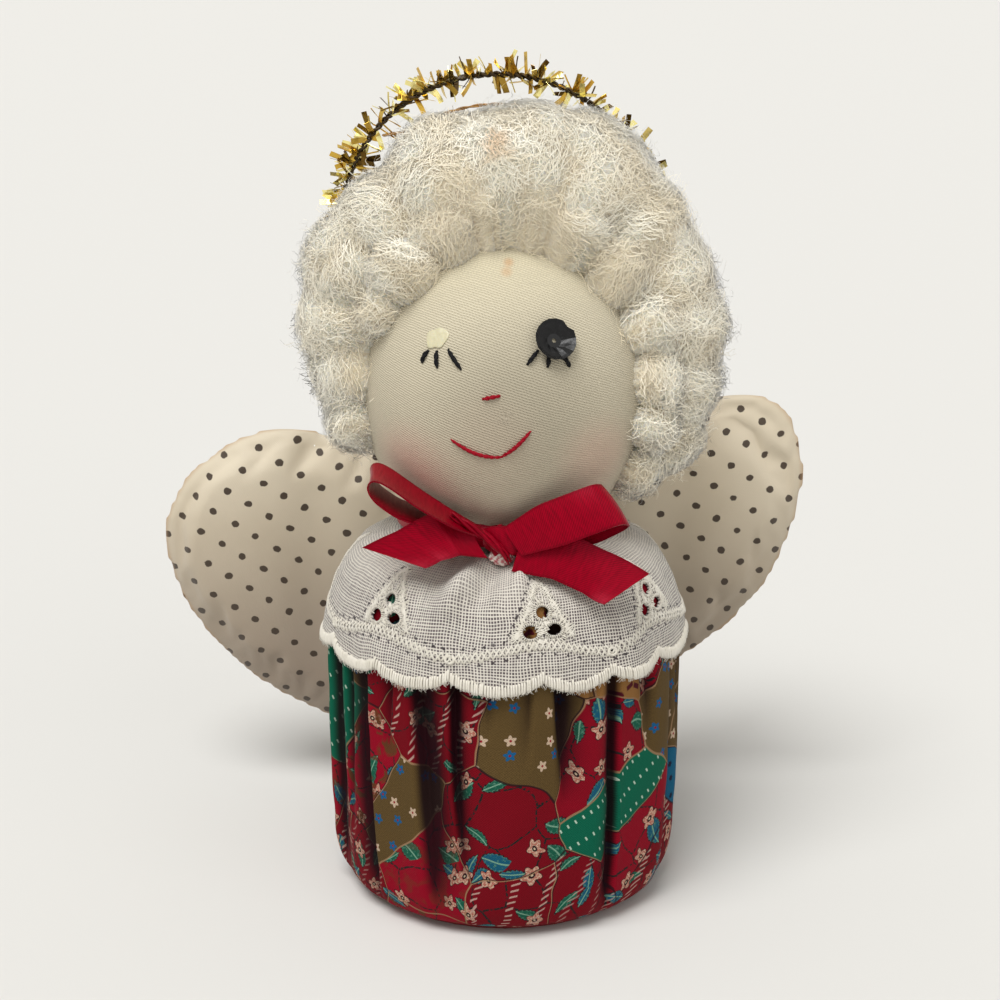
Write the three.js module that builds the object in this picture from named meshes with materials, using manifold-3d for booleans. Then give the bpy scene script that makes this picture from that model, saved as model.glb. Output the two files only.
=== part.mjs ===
// Angel ornament: a sewn doll on a card tube, with stuffed head and wings, lace collar, bow and tinsel halo.
// Units are millimetres, +Z is up, the face looks along -Y and the origin is the middle of the flat base.
import * as THREE from "three";
import * as BufferGeometryUtils from "three/addons/utils/BufferGeometryUtils.js";
import Module from "manifold-3d";

const wasm = await Module();
wasm.setup();

// Clearances that every piece shares
const SEAT_GAP = 0.3;
const WELD_DISTANCE = 0.0001;
const FULL_TURN = 2 * Math.PI;

// Card core and base
const TUBE_RADIUS = 23;
const TUBE_WALL = 1;
const TUBE_HEIGHT = 40;
const BASE_COVER_INSET = 2.5;
const BASE_COVER_THICKNESS = 1;
const BASE_CARD_THICKNESS = 1;

// Dress cloth
const DRESS_CLOTH = 0.5;
const DRESS_TOP_RADIUS = 9.6;
const DRESS_FOLD_DEPTH = 1.1;
const HEM_TURN_IN = 7;
const HEM_ROUND = 0.9;
const THREAD_RADIUS = 0.3;

// Shoulder and collar
const SHOULDER_RISE = 11.8;
const COLLAR_DROP = 16.5;
const COLLAR_LACE = 0.45;
const COLLAR_WAVE = 0.45;
const SCALLOP_DEPTH = 1.1;
const SCALLOPS = 13;

// Head
const HEAD_RADIUS = 20.4;
const HEAD_HALF_HEIGHT = 22.8;
const HEAD_RISE = 20.1;
const HEAD_CLOTH = 0.6;
const NECK_RADIUS = 7.4;
const NECK_LENGTH = 6.4;

// Face
const SEQUIN_RADIUS = 2.7;
const SEQUIN_HOLE_RADIUS = 0.4;
const SEQUIN_THICKNESS = 0.25;
const SEQUIN_CUP_DEPTH = 0.5;
const GLUE_MARK_RADIUS = 1.5;
const GLUE_MARK_HALF_THICKNESS = 0.2;
const LASH_RADIUS = 0.26;
const MOUTH_THREAD_RADIUS = 0.3;

// Ribbon
const RIBBON_WIDTH = 6.5;
const RIBBON_THICKNESS = 0.4;
const NECK_BAND_WIDTH = 5;
const NECK_BAND_RADIUS = 12.6;
const KNOT_HALF_WIDTH = 2.3;
const KNOT_HALF_DEPTH = 1.7;
const KNOT_HALF_HEIGHT = 2.9;
const KNOT_SIDE_SHIFT = -1;
const KNOT_RISE = 2.1;
const GLUE_DROP_HALF_WIDTH = 1.6;

// Wings
const WING_SPAN = 101;
const WING_PUFF = 3.2;
const WING_CLOTH = 0.5;
const WING_DROP = 15.9;
const WING_TACK_DROP = 11.9;
const WING_TACK_LENGTH = 6;
const WING_TACK_RADIUS = 0.35;

// Halo
const HALO_RADIUS = 23;
const HALO_CORE_RADIUS = 0.75;
const HALO_LEAN = THREE.MathUtils.degToRad(12);
const HALO_SIDE_SHIFT = -1.1;
const HALO_DROP = 3.5;
const HAIR_BACK_SHARE = 1.215;
const FOIL_LENGTH = 2.5;
const FOIL_WIDTH = 0.7;
const FOIL_THICKNESS = 0.2;
const FOIL_STRIPS = 64;
const SECOND_LAP_RADIUS = 0.3;
const SECOND_LAP_INSET = 4.4;

// Radii and heights that follow from the sizes above
const BASE_COVER_RADIUS = TUBE_RADIUS - BASE_COVER_INSET;
const HEM_INNER_RADIUS = TUBE_RADIUS - HEM_TURN_IN;
const DRESS_RADIUS = TUBE_RADIUS + 2 * SEAT_GAP + DRESS_CLOTH + DRESS_FOLD_DEPTH;
const COLLAR_NECK_RADIUS = DRESS_TOP_RADIUS + DRESS_CLOTH;
const SOCKET_RADIUS = DRESS_TOP_RADIUS - DRESS_CLOTH;
const HEM_BOTTOM = BASE_COVER_THICKNESS + SEAT_GAP;
const HEM_TOP = HEM_BOTTOM + DRESS_CLOTH;
const TUBE_BOTTOM = HEM_TOP + SEAT_GAP;
const TUBE_TOP = TUBE_BOTTOM + TUBE_HEIGHT;
const SHOULDER_HEIGHT = TUBE_TOP + SHOULDER_RISE;
const COLLAR_EDGE_HEIGHT = SHOULDER_HEIGHT - COLLAR_DROP;
const HEAD_CENTRE_HEIGHT = SHOULDER_HEIGHT + HEAD_RISE;
const NECK_BOTTOM = HEAD_CENTRE_HEIGHT - HEAD_HALF_HEIGHT - NECK_LENGTH + SEAT_GAP;
const WING_MIDDLE_HEIGHT = SHOULDER_HEIGHT - WING_DROP;
const WING_TACK_HEIGHT = SHOULDER_HEIGHT - WING_TACK_DROP;
const HALO_TACK_RADIUS = HALO_CORE_RADIUS + SEAT_GAP + THREAD_RADIUS;
const HALO_BOTTOM_HEIGHT = HEAD_CENTRE_HEIGHT - HALO_DROP;
const HALO_BOTTOM_BACK = HAIR_BACK_SHARE * HEAD_RADIUS + SEAT_GAP + HALO_TACK_RADIUS + THREAD_RADIUS;

// Colours and finishes
const cloth = (color) => new THREE.MeshStandardMaterial({ color, roughness: 0.9, metalness: 0 });
const printedCotton = cloth(0x9c1420);
const whiteLace = cloth(0xd8d4cc);
const creamKnit = cloth(0xded2b6);
const creamSateen = cloth(0xd8c8ae);
const wadding = cloth(0xf2f0ea);
const whiteThread = cloth(0xf0ece0);
const blackThread = cloth(0x1a1716);
const redThread = cloth(0xb0142c);
const whiteHair = cloth(0xe2dccf);
const card = cloth(0xb39a78);
const felt = cloth(0x7c1a20);
const redSatin = new THREE.MeshStandardMaterial({ color: 0xa80c24, roughness: 0.45, metalness: 0 });
const blackSequin = new THREE.MeshStandardMaterial({ color: 0x0c0c0e, roughness: 0.15, metalness: 0 });
const driedGlue = new THREE.MeshStandardMaterial({ color: 0xd9cda2, roughness: 0.5, metalness: 0 });
const goldFoil = new THREE.MeshStandardMaterial({ color: 0xb8923a, roughness: 0.25, metalness: 0.9 });

// Solids are joined and cut as closed meshes.
function solidOf(geometry) {
  const bare = geometry.index ? geometry.toNonIndexed() : geometry.clone();
  bare.deleteAttribute("normal");
  bare.deleteAttribute("uv");
  const merged = BufferGeometryUtils.mergeVertices(bare, WELD_DISTANCE);
  const vertProperties = new Float32Array(merged.attributes.position.array);
  const triVerts = new Uint32Array(merged.index.array);
  return new wasm.Manifold(new wasm.Mesh({ numProp: 3, vertProperties, triVerts }));
}

function geometryOf(solid) {
  const mesh = solid.getMesh();
  const geometry = new THREE.BufferGeometry();
  geometry.setAttribute("position", new THREE.BufferAttribute(mesh.vertProperties, 3));
  geometry.setIndex(new THREE.BufferAttribute(mesh.triVerts, 1));
  return geometry;
}

function joined(solids) {
  return solids.reduce((whole, solid) => whole.add(solid));
}

function largestBody(solid) {
  const bodies = solid.decompose();
  return bodies.reduce((best, body) => (body.volume() > best.volume() ? body : best));
}

// A profile of [radius, height] pairs is turned about the Z axis.
function turned(profile, segments) {
  const points = profile.map(([radius, height]) => new THREE.Vector2(radius, height));
  return new THREE.LatheGeometry(points, segments).rotateX(Math.PI / 2);
}

function ellipsoid(centre, radii, across = 12, down = 8) {
  const ball = new THREE.SphereGeometry(1, across, down).rotateX(Math.PI / 2);
  return ball.scale(...radii).translate(...centre);
}

function tubeAlong(points, radius, sides, steps) {
  const path = new THREE.CatmullRomCurve3(points.map((p) => new THREE.Vector3(...p)));
  const section = new THREE.Shape();
  section.absarc(0, 0, radius, 0, FULL_TURN, false);
  return new THREE.ExtrudeGeometry(section, { steps, curveSegments: sides / 2, extrudePath: path });
}

function threadRing(radius, height) {
  return new THREE.TorusGeometry(radius, THREAD_RADIUS, 4, 24).translate(0, 0, height);
}

// A closed grid whose rows each close on themselves and whose last row meets its first.
function closedGrid(rows) {
  const width = rows[0].length;
  const positions = rows.flat().flat();
  const index = [];
  rows.forEach((row, i) => {
    const next = (i + 1) % rows.length;
    row.forEach((point, j) => {
      const side = (j + 1) % width;
      const corners = [i * width + j, i * width + side, next * width + side, next * width + j];
      index.push(corners[0], corners[1], corners[2], corners[0], corners[2], corners[3]);
    });
  });
  return indexed(positions, index);
}

function indexed(positions, index) {
  const geometry = new THREE.BufferGeometry();
  geometry.setAttribute("position", new THREE.Float32BufferAttribute(positions, 3));
  geometry.setIndex(index);
  return geometry;
}

// A ribbon runs through stations: a middle point, a direction across it and its width there.
function ribbon(stations, extra) {
  const middles = stations.map(({ middle }) => new THREE.Vector3(...middle));
  const rows = middles.map((middle, i) => {
    const ahead = middles[Math.min(i + 1, middles.length - 1)];
    const behind = middles[Math.max(i - 1, 0)];
    const along = ahead.clone().sub(behind).normalize();
    const across = new THREE.Vector3(...stations[i].across).normalize();
    const reach = across.clone().multiplyScalar(stations[i].wide / 2 + extra);
    const rise = along.cross(across).normalize().multiplyScalar(RIBBON_THICKNESS / 2 + extra);
    return [
      middle.clone().add(reach).add(rise),
      middle.clone().sub(reach).add(rise),
      middle.clone().sub(reach).sub(rise),
      middle.clone().add(reach).sub(rise),
    ];
  });
  const positions = rows.flat().flatMap((p) => p.toArray());
  const index = [0, 2, 1, 0, 3, 2];
  for (let i = 0; i + 1 < rows.length; i += 1) {
    for (let j = 0; j < 4; j += 1) {
      const a = 4 * i + j;
      const b = 4 * i + ((j + 1) % 4);
      index.push(a, b, b + 4, a, b + 4, a + 4);
    }
  }
  const last = 4 * (rows.length - 1);
  index.push(last, last + 1, last + 2, last, last + 2, last + 3);
  return indexed(positions, index);
}

// The cloth folds sit between valleys at these turns from the front, in degrees to the right.
const FOLD_VALLEYS = [-152, -126, -101, -76, -51, -28, -15, 18, 38, 66, 92, 118, 145, 172];
const FOLD_HALF_WIDTH = 5.5;

function foldShare(angle) {
  const degrees = THREE.MathUtils.radToDeg(angle);
  const nearness = FOLD_VALLEYS.map((valley) => {
    const away = Math.abs(THREE.MathUtils.euclideanModulo(degrees - valley + 180, 360) - 180);
    return Math.exp(-((away / FOLD_HALF_WIDTH) ** 2));
  });
  return Math.max(...nearness);
}

// An angle of zero faces the front, and angles grow to the right.
function around(angle, radius, height) {
  return [radius * Math.sin(angle), -radius * Math.cos(angle), height];
}

// The shoulder is the dome that the dress, the filling and the collar share, offset inwards by a depth.
const SHOULDER_RADIUS_SHARES = [0.385, 0.68, 0.8, 0.91, 0.967, 0.992];
const SHOULDER_DROP_SHARES = [0, 0.085, 0.19, 0.46, 0.74, 1];

function shoulder(depth, neckRadius) {
  const drop = SHOULDER_HEIGHT - COLLAR_EDGE_HEIGHT;
  const places = SHOULDER_RADIUS_SHARES.map((share, i) => {
    const radius = share * (DRESS_RADIUS + COLLAR_LACE + 2 * SEAT_GAP);
    const tilt = SHOULDER_DROP_SHARES[i] ** 0.6;
    return [radius - depth * tilt, SHOULDER_HEIGHT - drop * SHOULDER_DROP_SHARES[i] - depth * (1 - tilt)];
  });
  places[0][0] = neckRadius;
  return places;
}

// Base and card core
function baseCover() {
  const radius = BASE_COVER_RADIUS;
  const top = BASE_COVER_THICKNESS;
  return turned([[0, 0], [radius, 0], [radius, top], [0, top]], 36);
}

function baseCard() {
  const radius = TUBE_RADIUS - TUBE_WALL - SEAT_GAP;
  const top = TUBE_BOTTOM + BASE_CARD_THICKNESS;
  return turned([[0, TUBE_BOTTOM], [radius, TUBE_BOTTOM], [radius, top], [0, top]], 32);
}

function bodyTube() {
  const bore = TUBE_RADIUS - TUBE_WALL;
  const bottom = [[bore, TUBE_BOTTOM], [TUBE_RADIUS, TUBE_BOTTOM]];
  const top = [[TUBE_RADIUS, TUBE_TOP], [bore, TUBE_TOP]];
  return turned([...bottom, ...top, bottom[0]], 32);
}

function bodyFilling() {
  const bottom = TUBE_BOTTOM + BASE_CARD_THICKNESS + SEAT_GAP;
  const bore = TUBE_RADIUS - TUBE_WALL - SEAT_GAP;
  const cover = COLLAR_LACE + 2 * SEAT_GAP + DRESS_CLOTH + DRESS_FOLD_DEPTH;
  const dome = shoulder(cover, SOCKET_RADIUS).filter(([, height]) => height > TUBE_TOP + 2 * SEAT_GAP);
  const rim = [[bore, TUBE_TOP + SEAT_GAP], [0, NECK_BOTTOM - SEAT_GAP]];
  const socket = [SOCKET_RADIUS, NECK_BOTTOM - SEAT_GAP];
  return turned([[0, bottom], [bore, bottom], rim[0], ...dome.reverse(), socket, rim[1]], 28);
}

// Dress: the outer loop runs from the neck down, under the base to the hem and back up inside the cloth.
const DRESS_SIDE_SHARES = [[0.995, 0.63], [1, 0.465], [0.995, 0.285], [0.98, 0.12], [0.965, 0.0375]];

function dressSide(depth) {
  return DRESS_SIDE_SHARES.map(([wide, high]) => [DRESS_RADIUS * wide - depth, SHOULDER_HEIGHT * high]);
}

function dressOutline() {
  const top = shoulder(COLLAR_LACE + SEAT_GAP, DRESS_TOP_RADIUS).slice(0, -1);
  const roll = TUBE_RADIUS + SEAT_GAP + DRESS_CLOTH;
  const lowest = HEM_BOTTOM - HEM_ROUND / 2;
  const rim = BASE_COVER_RADIUS + SEAT_GAP;
  const under = [[roll, lowest], [rim, lowest]];
  const hem = [[rim - 2 * SEAT_GAP, HEM_BOTTOM], [HEM_INNER_RADIUS, HEM_BOTTOM]];
  return [...top, ...dressSide(0), ...under, ...hem];
}

function dressInside() {
  const top = shoulder(COLLAR_LACE + SEAT_GAP + DRESS_CLOTH, DRESS_TOP_RADIUS).slice(0, -1);
  const roll = TUBE_RADIUS + 2 * SEAT_GAP;
  const hem = [[roll, HEM_TOP + SEAT_GAP], [roll - 2 * SEAT_GAP, HEM_TOP], [HEM_INNER_RADIUS, HEM_TOP]];
  return [...top, ...dressSide(DRESS_CLOTH).slice(0, -1), ...hem];
}

function folded(points, angle, foldShares, depth) {
  const fold = foldShare(angle);
  return points.map(([radius, height], i) => {
    const share = foldShares[Math.min(i, foldShares.length - 1)];
    return around(angle, radius - depth * fold * share, height);
  });
}

function dress() {
  const segments = 44;
  const outside = dressOutline();
  const inside = dressInside();
  const rows = Array.from({ length: segments }, (_, i) => {
    const angle = (FULL_TURN * i) / segments;
    const outer = folded(outside, angle, foldSharesFor(outside), DRESS_FOLD_DEPTH);
    const inner = folded(inside, angle, foldSharesFor(inside), DRESS_FOLD_DEPTH);
    return [...outer, ...inner.reverse()];
  });
  return closedGrid(rows);
}

// Folds are deepest where the cloth hangs on the side, and fade at the neck and under the base.
function foldSharesFor(points) {
  const high = SHOULDER_HEIGHT;
  return points.map(([radius, height]) => {
    const fromNeck = THREE.MathUtils.clamp((high - height) / (high - COLLAR_EDGE_HEIGHT), 0, 1);
    const fromHem = THREE.MathUtils.clamp((height - HEM_TOP) / (TUBE_HEIGHT / 6), 0, 1);
    return fromNeck * fromHem * (radius > HEM_INNER_RADIUS ? 1 : fromNeck);
  });
}

function collar() {
  const segments = 5 * SCALLOPS;
  const rows = Array.from({ length: segments }, (_, i) => {
    const angle = (FULL_TURN * i) / segments;
    const scallop = Math.abs(Math.sin((SCALLOPS * angle) / 2));
    return [...collarSide(angle, scallop, 0), ...collarSide(angle, scallop, COLLAR_LACE).reverse()];
  });
  return closedGrid(rows);
}

function collarSide(angle, scallop, depth) {
  const wave = Math.cos(SCALLOPS * angle);
  return shoulder(depth, COLLAR_NECK_RADIUS).map(([radius, height], i, all) => {
    const share = SHOULDER_DROP_SHARES[i];
    const edge = i === all.length - 1 ? SCALLOP_DEPTH * (0.5 - scallop) : 0;
    return around(angle, radius + SEAT_GAP + (COLLAR_WAVE * share * (1 + wave)) / 2, height + edge);
  });
}

// Head
function headProfile(radius, halfHeight, steps, from) {
  return Array.from({ length: steps + 1 }, (_, i) => {
    const angle = THREE.MathUtils.lerp(from, Math.PI / 2, i / steps);
    return [radius * Math.cos(angle), HEAD_CENTRE_HEIGHT + halfHeight * Math.sin(angle)];
  });
}

function neckAngle(neck, radius) {
  return -Math.acos(neck / radius);
}

function headCover() {
  const outer = headProfile(HEAD_RADIUS, HEAD_HALF_HEIGHT, 10, neckAngle(NECK_RADIUS, HEAD_RADIUS));
  const bore = NECK_RADIUS - HEAD_CLOTH;
  const reach = HEAD_RADIUS - HEAD_CLOTH;
  const inner = headProfile(reach, HEAD_HALF_HEIGHT - HEAD_CLOTH, 8, neckAngle(bore, reach));
  outer[outer.length - 1][0] = 0;
  inner[inner.length - 1][0] = 0;
  const profile = [...inner.reverse(), [bore, NECK_BOTTOM], [NECK_RADIUS, NECK_BOTTOM], ...outer];
  return turned(profile, 24);
}

function headFilling() {
  const inset = HEAD_CLOTH + SEAT_GAP;
  const bore = NECK_RADIUS - inset;
  const radius = HEAD_RADIUS - inset - SEAT_GAP;
  const ball = headProfile(radius, HEAD_HALF_HEIGHT - inset - SEAT_GAP, 8, neckAngle(bore, radius));
  ball[ball.length - 1][0] = 0;
  return turned([[0, NECK_BOTTOM], [bore, NECK_BOTTOM], ...ball], 24);
}

function headShape(extra) {
  const profile = headProfile(HEAD_RADIUS + extra, HEAD_HALF_HEIGHT + extra, 10, -Math.PI / 2);
  profile[0][0] = 0;
  profile[profile.length - 1][0] = 0;
  return turned(profile, 24);
}

// A place on the face: sideways and upwards shares of the head, and how far it lies off the cloth.
function onFace(sideShare, upShare, lift) {
  const frontShare = Math.sqrt(1 - sideShare ** 2 - upShare ** 2);
  const shares = new THREE.Vector3(sideShare, -frontShare, upShare);
  const size = new THREE.Vector3(HEAD_RADIUS, HEAD_RADIUS, HEAD_HALF_HEIGHT);
  const point = shares.clone().multiply(size);
  const normal = shares.clone().divide(size).normalize();
  point.z += HEAD_CENTRE_HEIGHT;
  return { point: point.addScaledVector(normal, lift), normal };
}

function faceStitch(shares, threadRadius, steps) {
  const lift = threadRadius + SEAT_GAP;
  const points = shares.map(([side, up]) => onFace(side, up, lift).point.toArray());
  return tubeAlong(points, threadRadius, 6, steps);
}

const EYE_SHARES = [0.309, 0.421];
const GLUE_MARK_SHARES = [-0.44, 0.43];
const LASH_SHARES = {
  lash_left_outer: [[-0.493, 0.358], [-0.54, 0.281]],
  lash_left_middle: [[-0.44, 0.362], [-0.437, 0.262]],
  lash_left_inner: [[-0.37, 0.376], [-0.285, 0.262]],
  lash_right_inner: [[0.197, 0.345], [0.147, 0.292]],
  lash_right_middle: [[0.279, 0.3], [0.275, 0.252]],
  lash_right_outer: [[0.377, 0.31], [0.419, 0.258]],
};
const NOSE_SHARES = [[-0.15, 0.105], [-0.03, 0.127]];
const MOUTH_LEFT_SHARES = [[-0.353, -0.145], [-0.23, -0.202], [-0.108, -0.237], [-0.045, -0.241]];
const MOUTH_RIGHT_SHARES = [[0.005, -0.222], [0.064, -0.167], [0.118, -0.118], [0.162, -0.083]];

function sequin() {
  const rim = SEQUIN_RADIUS;
  const hole = SEQUIN_HOLE_RADIUS;
  const floor = rim * 0.55;
  const skin = SEQUIN_THICKNESS;
  const back = [[rim, SEQUIN_CUP_DEPTH], [floor, 0], [hole, 0]];
  const front = [[hole, skin], [floor, skin], [rim, SEQUIN_CUP_DEPTH + skin]];
  const cup = turned([...back, ...front, back[0]].reverse(), 12);
  return seatedOnFace(cup, EYE_SHARES, SEAT_GAP);
}

function seatedOnFace(geometry, shares, lift) {
  const { point, normal } = onFace(...shares, lift);
  const turn = new THREE.Quaternion().setFromUnitVectors(new THREE.Vector3(0, 0, 1), normal);
  return geometry.applyQuaternion(turn).translate(...point.toArray());
}

function glueMark() {
  const flat = ellipsoid([0, 0, 0], [GLUE_MARK_RADIUS, GLUE_MARK_RADIUS, GLUE_MARK_HALF_THICKNESS], 12, 6);
  return seatedOnFace(flat, GLUE_MARK_SHARES, SEAT_GAP + GLUE_MARK_HALF_THICKNESS);
}

// Hair puffs: sideways, back and up from the head's centre, then the size, as shares of the head's radius.
const HAIR_SHARES = {
  hair_fringe_left: [
    [-0.83, -0.32, 0.6, 0.25], [-0.66, -0.4, 0.87, 0.28], [-0.4, -0.42, 1.09, 0.3],
    [-0.13, -0.42, 1.22, 0.27],
  ],
  hair_fringe_right: [[0.2, -0.44, 1.22, 0.28], [0.46, -0.4, 1.1, 0.3], [0.73, -0.35, 0.85, 0.3]],
  hair_temple_right: [[0.93, -0.35, 0.5, 0.27], [0.98, -0.39, 0.13, 0.25], [0.94, -0.39, -0.2, 0.22]],
  hair_lock_right: [[0.92, -0.22, -0.53, 0.25], [0.9, -0.1, -0.36, 0.24]],
  hair_side_left: [
    [-1.05, -0.15, 0.86, 0.35], [-1.15, -0.15, 0.5, 0.32], [-1.1, -0.18, 0.13, 0.3],
    [-1.03, -0.15, -0.2, 0.27],
    [-0.91, 0.12, -0.3, 0.26], [-0.84, 0.4, 0.68, 0.38], [-0.93, 0.35, 0.2, 0.36], [-0.86, 0.4, -0.24, 0.31],
  ],
  hair_side_right: [
    [1.08, -0.1, 0.78, 0.37], [1.22, -0.1, 0.42, 0.35], [1.24, -0.1, 0.05, 0.33], [1.17, -0.04, -0.36, 0.3],
    [0.88, 0.4, 0.64, 0.38], [1, 0.34, 0.15, 0.36], [0.93, 0.34, -0.3, 0.33],
  ],
  hair_crown: [
    [-0.79, -0.14, 1.22, 0.42], [-0.4, -0.18, 1.45, 0.46], [0.1, -0.18, 1.5, 0.46], [0.55, -0.14, 1.4, 0.46],
    [0.89, -0.1, 1.15, 0.41], [0, 0.2, 1.08, 0.42], [-0.45, 0.18, 1.18, 0.42], [0.45, 0.18, 1.18, 0.42],
  ],
  hair_back: [
    [0, 0.45, 0.76, 0.42], [-0.38, 0.42, 0.76, 0.4], [0.38, 0.42, 0.76, 0.4], [0, 0.62, 0.45, 0.46],
    [-0.48, 0.6, 0.38, 0.42], [0.48, 0.6, 0.38, 0.42], [0, 0.84, -0.1, 0.41],
    [-0.52, 0.58, -0.2, 0.39], [0.52, 0.58, -0.2, 0.39], [0, 0.68, -0.45, 0.32], [-0.42, 0.54, -0.48, 0.29],
    [0.42, 0.54, -0.48, 0.29],
  ],
};

function puffs(shares, extra) {
  const balls = shares.map(([side, back, up, size]) => {
    const centre = [side * HEAD_RADIUS, back * HEAD_RADIUS, up * HEAD_RADIUS + HEAD_CENTRE_HEIGHT];
    const radius = size * HEAD_RADIUS + extra;
    return solidOf(ellipsoid(centre, [radius, radius, radius], 8, 6));
  });
  return joined(balls);
}

function hairMasses() {
  let taken = solidOf(headShape(SEAT_GAP));
  return Object.entries(HAIR_SHARES).map(([name, shares]) => {
    const mass = largestBody(puffs(shares, 0).subtract(taken));
    taken = taken.add(puffs(shares, SEAT_GAP));
    return [name, geometryOf(mass), whiteHair];
  });
}

// Halo: a ring that leans forward over the crown, from its tack at the back of the head.
const HALO_UP = new THREE.Vector3(0, -Math.sin(HALO_LEAN), Math.cos(HALO_LEAN));
const HALO_FRONT = new THREE.Vector3(0, -Math.cos(HALO_LEAN), -Math.sin(HALO_LEAN));
const HALO_BOTTOM = new THREE.Vector3(HALO_SIDE_SHIFT, HALO_BOTTOM_BACK, HALO_BOTTOM_HEIGHT);
const HALO_CENTRE = HALO_BOTTOM.clone().addScaledVector(HALO_UP, HALO_RADIUS);

function haloDirection(angle) {
  return new THREE.Vector3(Math.sin(angle), 0, 0).addScaledVector(HALO_UP, Math.cos(angle));
}

function haloPoint(angle, radius) {
  return HALO_CENTRE.clone().addScaledVector(haloDirection(angle), radius);
}

function haloCore() {
  const steps = 48;
  const sides = 5;
  const rows = Array.from({ length: steps }, (_, i) => {
    const angle = (FULL_TURN * i) / steps;
    const outward = haloDirection(angle);
    return Array.from({ length: sides }, (_, j) => {
      const spin = (FULL_TURN * j) / sides;
      const middle = haloPoint(angle, HALO_RADIUS + HALO_CORE_RADIUS * Math.cos(spin));
      return middle.addScaledVector(HALO_FRONT, HALO_CORE_RADIUS * Math.sin(spin)).toArray();
    });
  });
  return closedGrid(rows);
}

const GOLDEN_TURN = Math.PI * (3 - Math.sqrt(5));
const TACK_HALF_ANGLE = THREE.MathUtils.degToRad(10);

function foilStrip(i) {
  const angle = (FULL_TURN * (i + 0.3 * Math.sin(i * i))) / FOIL_STRIPS;
  const spin = i * GOLDEN_TURN;
  const along = haloDirection(angle).multiplyScalar(Math.cos(spin));
  along.addScaledVector(HALO_FRONT, Math.sin(spin));
  const tangent = haloDirection(angle + Math.PI / 2);
  const flat = tangent.clone().applyAxisAngle(along, Math.sin(3 * i));
  const side = along.clone().cross(flat);
  const length = HALO_CORE_RADIUS + FOIL_LENGTH * (0.8 + 0.2 * Math.cos(5 * i));
  const strip = new THREE.BoxGeometry(FOIL_WIDTH, FOIL_THICKNESS, length).translate(0, 0, length / 2);
  const frame = new THREE.Matrix4().makeBasis(flat, side, along).setPosition(haloPoint(angle, HALO_RADIUS));
  return solidOf(strip.applyMatrix4(frame));
}

function haloTinsel() {
  const kept = Array.from({ length: FOIL_STRIPS }, (_, i) => i).filter((i) => {
    const angle = (FULL_TURN * i) / FOIL_STRIPS;
    return Math.abs(angle - Math.PI) > TACK_HALF_ANGLE;
  });
  const foil = joined(kept.map(foilStrip)).subtract(solidOf(secondLap(SEAT_GAP)));
  return geometryOf(largestBody(solidOf(haloCore()).add(foil)));
}

// The second lap: degrees from the top of the ring, and how far it stands in from the ring.
const LAP_SHARES = [
  [-50, 0.31], [-43, 0.75], [-32, 0.93], [-12, 1], [8, 1], [28, 0.93], [40, 0.7], [48, 0.31],
];

function secondLap(extra) {
  const points = LAP_SHARES.map(([degrees, share]) => {
    return haloPoint(THREE.MathUtils.degToRad(degrees), HALO_RADIUS - share * SECOND_LAP_INSET).toArray();
  });
  return tubeAlong(points, SECOND_LAP_RADIUS + extra, 6, 24);
}

function haloTack() {
  const loop = new THREE.TorusGeometry(HALO_TACK_RADIUS, THREAD_RADIUS, 5, 12).rotateY(Math.PI / 2);
  return loop.translate(...HALO_BOTTOM.toArray());
}

// Wings: one heart shaped pad, its outline as shares of the span from a middle point.
const WING_OUTLINE_SHARES = [
  [-0.292, 0.216], [-0.339, 0.213], [-0.378, 0.2], [-0.418, 0.176], [-0.458, 0.144], [-0.489, 0.095],
  [-0.502, 0.046], [-0.493, -0.013], [-0.475, -0.062], [-0.43, -0.131], [-0.36, -0.199], [-0.256, -0.259],
  [-0.115, -0.319], [0.014, -0.343], [0.123, -0.317], [0.217, -0.248], [0.319, -0.161], [0.379, -0.114],
  [0.441, -0.046], [0.477, 0.029], [0.494, 0.083], [0.501, 0.144], [0.494, 0.192], [0.477, 0.236],
  [0.445, 0.264], [0.406, 0.273], [0.367, 0.268], [0.291, 0.238], [0.182, 0.181], [0.063, 0.139],
  [-0.065, 0.149], [-0.184, 0.193],
];
const WING_SIDE_SHARE = -0.034;
const WING_RING_SHARES = [1, 0.93, 0.78, 0.52];

function wingOutline(count) {
  const middle = [WING_SIDE_SHARE * WING_SPAN, WING_MIDDLE_HEIGHT];
  const places = WING_OUTLINE_SHARES.map(([side, up]) => new THREE.Vector3(side, 0, up));
  const points = places.map((place) => place.multiplyScalar(WING_SPAN));
  const curve = new THREE.CatmullRomCurve3(points, true);
  const outline = curve.getPoints(count).slice(0, -1);
  return outline.map((point) => [point.x, point.z, ...middle]);
}

function puffShare(ring) {
  return (1 - ring ** 2.4) ** 0.6;
}

const COLLAR_REACH = 0.992 * (DRESS_RADIUS + COLLAR_LACE + 2 * SEAT_GAP) + SEAT_GAP + COLLAR_WAVE;
const WING_BACK = COLLAR_REACH + SEAT_GAP + WING_PUFF + WING_CLOTH + SEAT_GAP / 2;

// One face of the pad: rings of points that shrink to the middle, at a depth given for each ring.
function wingFace(outline, rings, depthOf) {
  return rings.map((ring) => outline.map(([side, up, middleSide, middleUp]) => {
    return [middleSide + side * ring, WING_BACK + depthOf(ring), middleUp + up * ring];
  }));
}

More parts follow.
